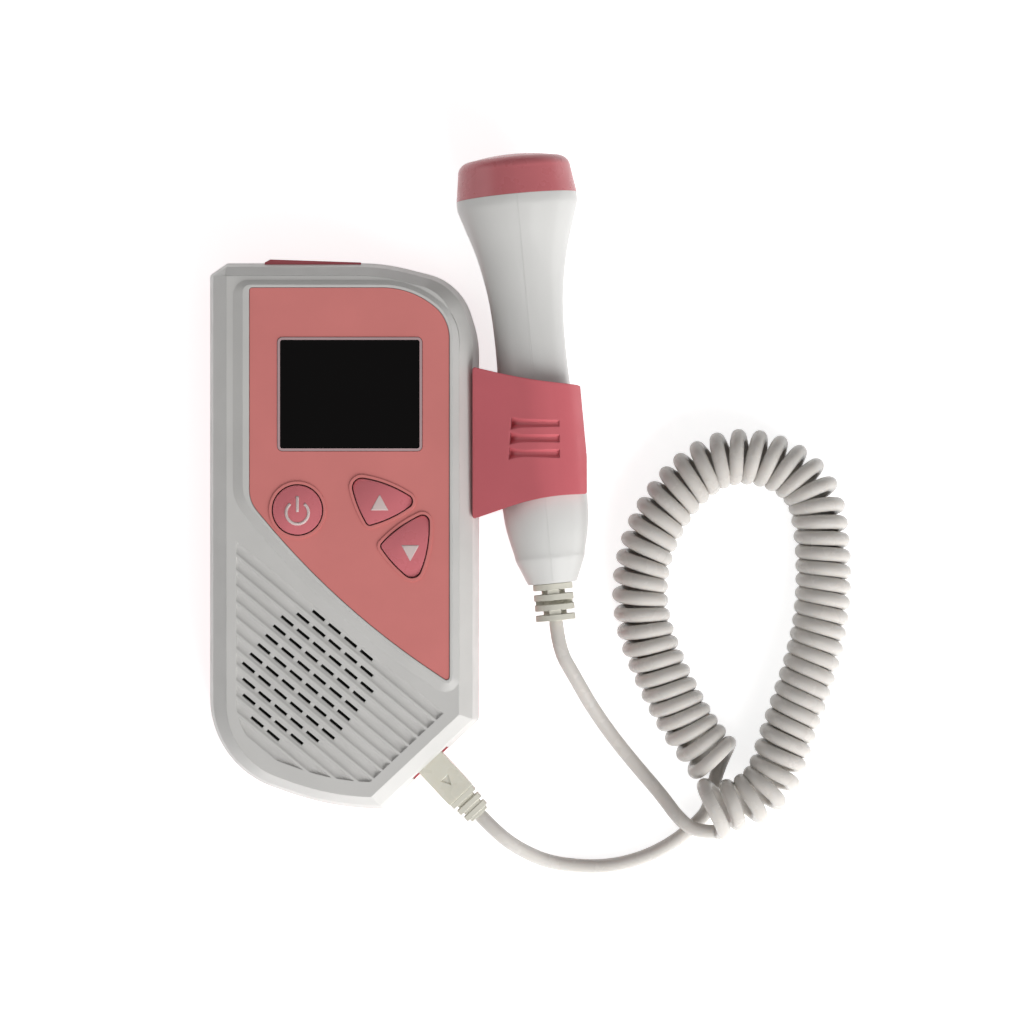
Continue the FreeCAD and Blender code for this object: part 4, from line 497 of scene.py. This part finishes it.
# %% Power symbol
POWER_MIDDLE = (-10.95 * MM, 6.5 * MM)             # middle of the button's dome
RING_MIDDLE = (-10.95 * MM, 5.8 * MM)              # the ring sits a little lower
RING_TURN = np.radians(np.linspace(128, 412, 49))  # leaves 76 degrees open at the top
RING_RADII = np.array([3.1, 2.75, 2.4]) * MM
BAR_RISE = np.linspace(6.0, 9.9, 9) * MM
BAR_SIDE = np.linspace(-11.3, -10.6, 3) * MM

power_top = top_of("power_button")
turn, reach = np.meshgrid(RING_TURN, RING_RADII, indexing="ij")
ring = on_dome(RING_MIDDLE[0] + reach * np.cos(turn), RING_MIDDLE[1] + reach * np.sin(turn),
               POWER_MIDDLE, power_top)
rise, side = np.meshgrid(BAR_RISE, BAR_SIDE, indexing="ij")
bar = on_dome(side, rise, POWER_MIDDLE, power_top)
ink_piece("power_symbol", [ring, bar], "power_button")

# %% [markdown]
# ### The arrows
# One triangle as a single face would cut through the dome. As a grid whose rows shrink towards
# the tip, it follows the dome. The rows stop just before the tip, so that none has no width.

# %% Up and down symbols
ARROW_ROWS = 13
TIP_REACH = 0.96              # how far the last row goes towards the tip


def triangle(tip, left, right, middle, top):
    """A triangle as a grid: rows run from the base to the tip and shrink towards it."""
    down, across = np.meshgrid(np.linspace(0, TIP_REACH, ARROW_ROWS),
                               np.linspace(0, 1, ARROW_ROWS), indexing="ij")
    x = (left[0] + (right[0] - left[0]) * across) * (1 - down) + tip[0] * down
    y = (left[1] + (right[1] - left[1]) * across) * (1 - down) + tip[1] * down
    return on_dome(x * MM, y * MM, middle, top)


# name: its button, the middle of the button's dome, and the tip and the two corners, in mm
ARROWS = {
    "up_symbol": ("up_button", (9.13, 8.13), (9.25, 10.3), (7.05, 6.4), (11.4, 6.4)),
    "down_symbol": ("down_button", (15.82, -2.2), (16.75, -6.1), (18.95, -2.15),
                    (14.6, -2.15)),
}
for name, (button, middle, *corners) in ARROWS.items():
    dome_middle = tuple(c * MM for c in middle)
    ink_piece(name, [triangle(*corners, dome_middle, top_of(button))], button)

# %% [markdown]
# ## The cord
# One soft cord runs from the probe to the plug: a straight lead, a long curly stretch that
# lies in a loop, and a second straight lead, which passes under the first turns. A physics
# run could let it fall into place, but it wouldn't lie in this loop. So its line is drawn with
# a few listed points, which keep a free cord's even bends. Heights follow from what it
# lies on: 1.75 mm is half its thickness, and 7.05 mm half the curly stretch's.

# %% The cord's routes
CORD = 3.5 * MM
COIL = 14.1 * MM
HELIX_RADIUS = (COIL - CORD) / 2

PROBE_LEAD = [
    (52.65, -20.9, 16.0),
    (53.32, -28.07, 16.0),
    (57.3, -34.9, 13.0),
    (61.2, -41.9, 8.4),
    (66.6, -49.9, 4.2),
    (73.2, -58.1, 2.1),
    (79.4, -65.2, 3.3),
    (83.6, -71.0, 5.9),
    (88.0, -74.1, 6.5),
]
CURLY_CORD = [
    (86.8, -67.9, 10.4),
    (92.3, -67.6, 10.2),
    (100.3, -66.7, 8.8),
    (107.0, -61.6, 7.3),
    (110.0, -51.4, 7.05),
    (114.0, -40.3, 7.05),
    (118.3, -26.5, 7.05),
    (119.9, -13.0, 7.05),
    (119.4, 0.5, 7.05),
    (117.2, 12.2, 7.05),
    (107.2, 19.4, 7.05),
    (94.6, 20.2, 7.05),
    (84.4, 13.2, 7.05),
    (77.0, 2.2, 7.05),
    (73.4, -10.5, 7.05),
    (74.4, -22.4, 7.05),
    (78.7, -33.6, 7.05),
    (83.9, -44.2, 7.05),
    (88.4, -51.2, 7.1),
    (93.9, -58.1, 7.75),
]
PLUG_LEAD = [
    (92.1, -63.2, 1.75),
    (91.3, -68.9, 1.75),
    (87.2, -73.2, 1.75),
    (82.0, -77.3, 1.75),
    (75.2, -80.8, 1.75),
    (66.9, -83.0, 1.75),
    (58.6, -83.1, 1.75),
    (51.0, -81.9, 3.4),
    (44.6, -78.9, 7.6),
    (38.52, -74.53, 12.0),
    (33.73, -69.42, 12.0),
]


def metres(points):
    """A route's points in metres."""
    return [tuple(c * MM for c in point) for point in points]


print("route points:", len(PROBE_LEAD), len(CURLY_CORD), len(PLUG_LEAD))

# %% [markdown]
# ### From points to a smooth line
# Straight runs between the points would look like bent wire, and a spline through every point
# can swing out between them. A quadratic NURBS spline stays inside the corners and never
# swings out, as a soft cord does. Blender divides it, and numpy then spaces its points evenly.
# The order and the end rule are set after the points are added, or Blender keeps order 2.

# %% The smooth line of a route
DIVISIONS = 24                # points that Blender puts on each piece of the spline


def smooth_route(name, points):
    """Points along the NURBS spline that has these control points, in metres."""
    curve = bpy.data.curves.new(name, "CURVE")
    curve.dimensions = "3D"
    curve.resolution_u = DIVISIONS
    spline = curve.splines.new("NURBS")
    spline.points.add(len(points) - 1)
    spline.points.foreach_set("co", [c for point in points for c in (*point, 1.0)])
    spline.order_u = 3
    spline.use_endpoint_u = True
    holder = bpy.data.objects.new(name, curve)
    drawn = bpy.data.meshes.new_from_object(holder)
    line = np.empty(len(drawn.vertices) * 3)
    drawn.vertices.foreach_get("co", line)
    bpy.data.objects.remove(holder)
    bpy.data.meshes.remove(drawn)
    bpy.data.curves.remove(curve)
    return line.reshape(-1, 3)


def resampled(line, step):
    """The same line with points at equal distances, about a step apart; also its length."""
    spans = np.linalg.norm(np.diff(line, axis=0), axis=1)
    along = np.concatenate([[0.0], np.cumsum(spans)])
    places = np.linspace(0, along[-1], int(along[-1] / step) + 1)
    points = np.stack([np.interp(places, along, line[:, k]) for k in range(3)], axis=1)
    return points, along[-1]


middle, loop_length = resampled(smooth_route("coil_route", metres(CURLY_CORD)), 0.1 * MM)
print("the loop's middle line: %.1f mm" % (loop_length / MM))

# %% [markdown]
# ### How fast the curly stretch turns
# The turns lie close on the loop's right side and are pulled apart over its top. An even helix
# would look machine made. Here the rate of turning is one over the local pitch, the pitch
# comes from a short table along the loop, and the turns so far are the sum of the rate. At
# both ends the rate falls, so that the straight leads run into the helix without a kink.

# %% Turns along the loop
PITCH_AT = [0.0, 0.06, 0.12, 0.20, 0.36, 0.42, 0.52, 0.66, 0.80, 0.92, 0.97, 1.0]
PITCHES = np.array([5.6, 5.0, 4.2, 3.7, 3.65, 4.2, 4.3, 4.2, 4.15, 3.8, 4.3, 5.0]) * MM
EASE = 5.0 * MM                         # stretch over which the first turn begins
LAST_EASE = 3.0 * MM                    # stretch over which the last turn slows down
LAST_RATE = 0.35                        # share of the full rate left at the very end
START_ANGLE, END_ANGLE = -20.0, -90.0   # degrees from the loop's outside, up being 90

along = np.linspace(0, loop_length, len(middle))
rate = 1 / np.interp(along / loop_length, PITCH_AT, PITCHES)
rate *= np.clip(along / EASE, 0, 1) ** 2
rate *= np.interp(loop_length - along, [0, LAST_EASE], [LAST_RATE, 1])
turns = np.concatenate([[0.0], np.cumsum((rate[1:] + rate[:-1]) / 2 * np.diff(along))])
wanted = round(turns[-1]) + (END_ANGLE - START_ANGLE) / 360
turns *= wanted / turns[-1]
print("curly stretch: %.1f turns over %.1f mm" % (turns[-1], loop_length / MM))

# %% [markdown]
# ### The helix
# The cord's own line is the loop's middle line plus a spoke that turns. The spoke stands
# square to the loop, but at both ends the turns lean over, as loose turns do where nothing
# holds them up, and the first turn swings in from a wider radius. All points are worked out as
# whole arrays, with more of them at the start, where the first turn bends most.

# %% The cord's line in the curly stretch
START_RADIUS, END_RADIUS = 8.6 * MM, 6.0 * MM
SWING = 10 * MM                         # stretch over which the radius settles at each end
LEAN_AT = np.array([0.0, 8.0, 16.0, 30.0]) * MM
LEAN = np.radians([38.0, 24.0, 12.0, 0.0])
END_LEAN = math.radians(16.0)
END_LEAN_OVER = 1.5 * SWING
POINTS_PER_TURN = 36
START_POINTS = 12                       # extra points in the ease


def eased(share):
    """A smooth step: 3 t^2 - 2 t^3, with t held between 0 and 1."""
    share = np.clip(share, 0, 1)
    return share * share * (3 - 2 * share)


steps = np.union1d(np.linspace(0, turns[-1], int(turns[-1] * POINTS_PER_TURN)),
                   np.interp(np.linspace(0, EASE, START_POINTS), along, turns))
places = np.interp(steps, turns, along)
left = loop_length - places
centre = np.stack([np.interp(places, along, middle[:, k]) for k in range(3)], axis=1)
forward = np.stack([np.interp(places, along, column) for column in
                    np.gradient(middle, along, axis=0).T], axis=1)
forward /= np.linalg.norm(forward, axis=1, keepdims=True)
up = np.tile([0.0, 0.0, 1.0], (len(steps), 1))
lean = (np.interp(places, LEAN_AT, LEAN)
        + END_LEAN * eased(1 - left / END_LEAN_OVER))[:, None]
outside = np.cos(lean) * np.cross(forward, up) + np.sin(lean) * forward
radius = (HELIX_RADIUS + (START_RADIUS - HELIX_RADIUS) * eased(1 - places / SWING)
          + (END_RADIUS - HELIX_RADIUS) * eased(1 - left / SWING))[:, None]
angle = (2 * math.pi * steps + math.radians(START_ANGLE))[:, None]
spoke = np.cos(angle) * outside + np.sin(angle) * up
helix = centre + radius * spoke

# %% [markdown]
# ### The jacket
# A cord is a circle carried along its line. A curve with a bevel depth would do it, but it
# gives no say over the section. Here the circle stands square to the line, on two directions
# that never line up with it: one towards a guide, one square to both. In the curly stretch the
# guide is the spoke, so that the jacket can be a little flatter towards the middle.

# %% A tube along a line
END_SHARE = 0.93              # size of a tube's first and last ring, against the others


def tube(path, guide, radius, sides, widen=1.0):
    """Rings of points round a path.

    Formula: point = path + radius * (widen * cos a * across + sin a * above), with above the
    guide made square to the path's tangent, and across = above x tangent. The first and
    last ring are a little smaller, so that the ends of two tubes hide in each other.
    """
    tangent = np.gradient(path, axis=0)
    tangent /= np.linalg.norm(tangent, axis=1, keepdims=True)
    above = guide - (guide * tangent).sum(axis=1, keepdims=True) * tangent
    above /= np.linalg.norm(above, axis=1, keepdims=True)
    across = np.cross(above, tangent)
    angle = np.linspace(0, 2 * math.pi, sides, endpoint=False)[None, :, None]
    ring = widen * np.cos(angle) * across[:, None] + np.sin(angle) * above[:, None]
    size = np.full((len(path), 1, 1), radius)
    size[[0, -1]] *= END_SHARE
    return path[:, None] + size * ring


def tube_faces(rows, sides):
    """The tube's skin and its two flat ends."""
    last = (rows - 1) * sides
    faces = grid_faces(rows, sides, wrap=True)
    faces.append(list(range(sides))[::-1])
    faces.append(list(range(last, last + sides)))
    return faces


print("faces of a 4-sided tube of 2 rings:", len(tube_faces(2, 4)))

# %% [markdown]
# ### The curly stretch
# The jacket goes round the helix and stands for the CAD's plain solid of the same outer shape.

# %% The curly stretch
FLAT = 1.04                   # the winding flattens the jacket a little
COIL_SIDES = 16

curly = add_piece("curly_stretch", tube(helix, spoke, CORD / 2, COIL_SIDES, widen=FLAT),
                  tube_faces(len(helix), COIL_SIDES), finishes["cord_jacket"], "root")
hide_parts("curly_cord")
print("curly stretch:", len(curly.data.polygons), "faces")

# %% [markdown]
# ### The straight leads
# Both leads are the same cord as the curly stretch, so each reaches a little way into it, and
# the smaller end rings hide in the neighbour. The probe can be drawn out of its holder, but its
# lead here is built at rest and rides on no body. The plug lead only lies on the table.

# %% The straight leads
LEAD_STEP = 0.8 * MM
LEAD_SIDES = 20


def lead(name, points, body, before=(), after=()):
    """A straight lead along its route.

    The points before and after lie on the curly stretch, which the lead runs into.
    """
    line, length = resampled(smooth_route(name + "_route", points), LEAD_STEP)
    line = np.array([*before, *line, *after])
    upwards = np.tile([0.0, 0.0, 1.0], (len(line), 1))
    piece = add_piece(name, tube(line, upwards, CORD / 2, LEAD_SIDES),
                      tube_faces(len(line), LEAD_SIDES), finishes["cord_jacket"], body)
    print("%s: %.1f mm" % (name, length / MM))
    return piece


probe_route = metres(PROBE_LEAD) + [tuple(helix[0].tolist())]
probe_lead = lead("probe_lead_cord", probe_route, None, after=helix[1:3])
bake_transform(probe_lead)
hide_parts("probe_lead")

plug_route = [tuple(helix[-1].tolist())] + metres(PLUG_LEAD)
plug_lead = lead("plug_lead_cord", plug_route, "root", before=helix[-3:-1])
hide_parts("plug_lead")

# %% [markdown]
# ## Floor
# The monitor lies on a plain white table. Turning the lamps up until the table is white would
# burn out the white case too. So the floor glows a little, but only for rays from the camera
# and from glossy pieces: it looks white to them, it lights nothing, and it keeps the soft
# shadow under the case.


# %% Floor
def seen_directly(tree, kinds):
    """1 where a ray is of one of two kinds, and 0 for any other ray."""
    path_kind = tree.nodes.new("ShaderNodeLightPath")
    either = tree.nodes.new("ShaderNodeMath")
    either.operation = "MAXIMUM"
    for socket, kind in zip(either.inputs, kinds):
        tree.links.new(path_kind.outputs[kind], socket)
    return either.outputs[0]


FLOOR_REACH = 6.0
FLOOR_WHITE = 0.9
FLOOR_GLOW = 0.72
FLOOR_GAP = 0.05 * MM         # keeps the case's flat back clear of the floor

corners = [(-1, -1), (1, -1), (1, 1), (-1, 1)]
floor_mesh = bpy.data.meshes.new("floor")
floor_mesh.from_pydata([(x * FLOOR_REACH, y * FLOOR_REACH, 0) for x, y in corners], [],
                       [(0, 1, 2, 3)])
floor_material, tree, shader = new_material("pale_floor")
shader.inputs["Base Color"].default_value = (FLOOR_WHITE, FLOOR_WHITE, FLOOR_WHITE, 1)
shader.inputs["Roughness"].default_value = 0.9
shader.inputs["Specular IOR Level"].default_value = 0.0
glow = tree.nodes.new("ShaderNodeMath")
glow.operation = "MULTIPLY"
glow.inputs[1].default_value = FLOOR_GLOW
tree.links.new(seen_directly(tree, ("Is Camera Ray", "Is Glossy Ray")), glow.inputs[0])
shader.inputs["Emission Color"].default_value = (1, 1, 1, 1)
tree.links.new(glow.outputs[0], shader.inputs["Emission Strength"])
floor_mesh.materials.append(floor_material)
floor = bpy.data.objects.new("floor", floor_mesh)
floor.location.z = -FLOOR_GAP
scene.collection.objects.link(floor)
print("floor: %.0f m wide" % (2 * FLOOR_REACH))

# %% [markdown]
# ## Lamps
# The light comes from the lower right, as from a big window, with a weaker one across from it.
# A single window lamp mirrors as a white patch in the flat glossy panel when the camera is
# low. So the window is two lamps in one place: the stronger lights without a mirror image, and
# the weaker gives the soft gleam on the probe and the buttons.


# %% Lamps
def softbox(name, position, side, power, mirrored=True):
    """A square area lamp that faces the object; glossy faces may be spared its mirror image."""
    data = bpy.data.lights.new(name, "AREA")
    data.shape = "SQUARE"
    data.size = side
    data.energy = power
    lamp = bpy.data.objects.new(name, data)
    lamp.location = position
    away = np.array(position, float) - np.array(TARGET, float)
    flat = math.hypot(away[0], away[1])
    lamp.rotation_euler = (math.atan2(flat, away[2]), 0,
                           math.atan2(away[1], away[0]) + math.pi / 2)
    lamp.visible_glossy = mirrored
    scene.collection.objects.link(lamp)
    print("%s: %.1f W" % (name, power))


TARGET = (0.04, 0.0, 0.0)
WINDOW, WINDOW_SIDE = (0.54, -0.72, 0.44), 0.85
softbox("window_lamp", WINDOW, WINDOW_SIDE, 9.8, mirrored=False)
softbox("window_gleam", WINDOW, WINDOW_SIDE, 2.8)
softbox("far_lamp", (-1.3, 0.4, 0.55), 0.9, 3.0)

# %% [markdown]
# ## World
# A white room fills the shadows. For the camera, and through clear pieces, the world is fully
# white. For all other rays it is weaker, so that it lifts the shadows without washing the
# colours out.

# %% World
FILL = 0.28                   # the world's light on the object, against full white

world = bpy.data.worlds.new("studio")
scene.world = world
world.use_nodes = True
tree = world.node_tree
background = tree.nodes["Background"]
background.inputs["Color"].default_value = (1, 1, 1, 1)
level = tree.nodes.new("ShaderNodeMapRange")
level.inputs["To Min"].default_value = FILL
level.inputs["To Max"].default_value = 1.0
tree.links.new(seen_directly(tree, ("Is Camera Ray", "Is Transmission Ray")),
               level.inputs["Value"])
tree.links.new(level.outputs["Result"], background.inputs["Strength"])
print("world fill:", FILL)
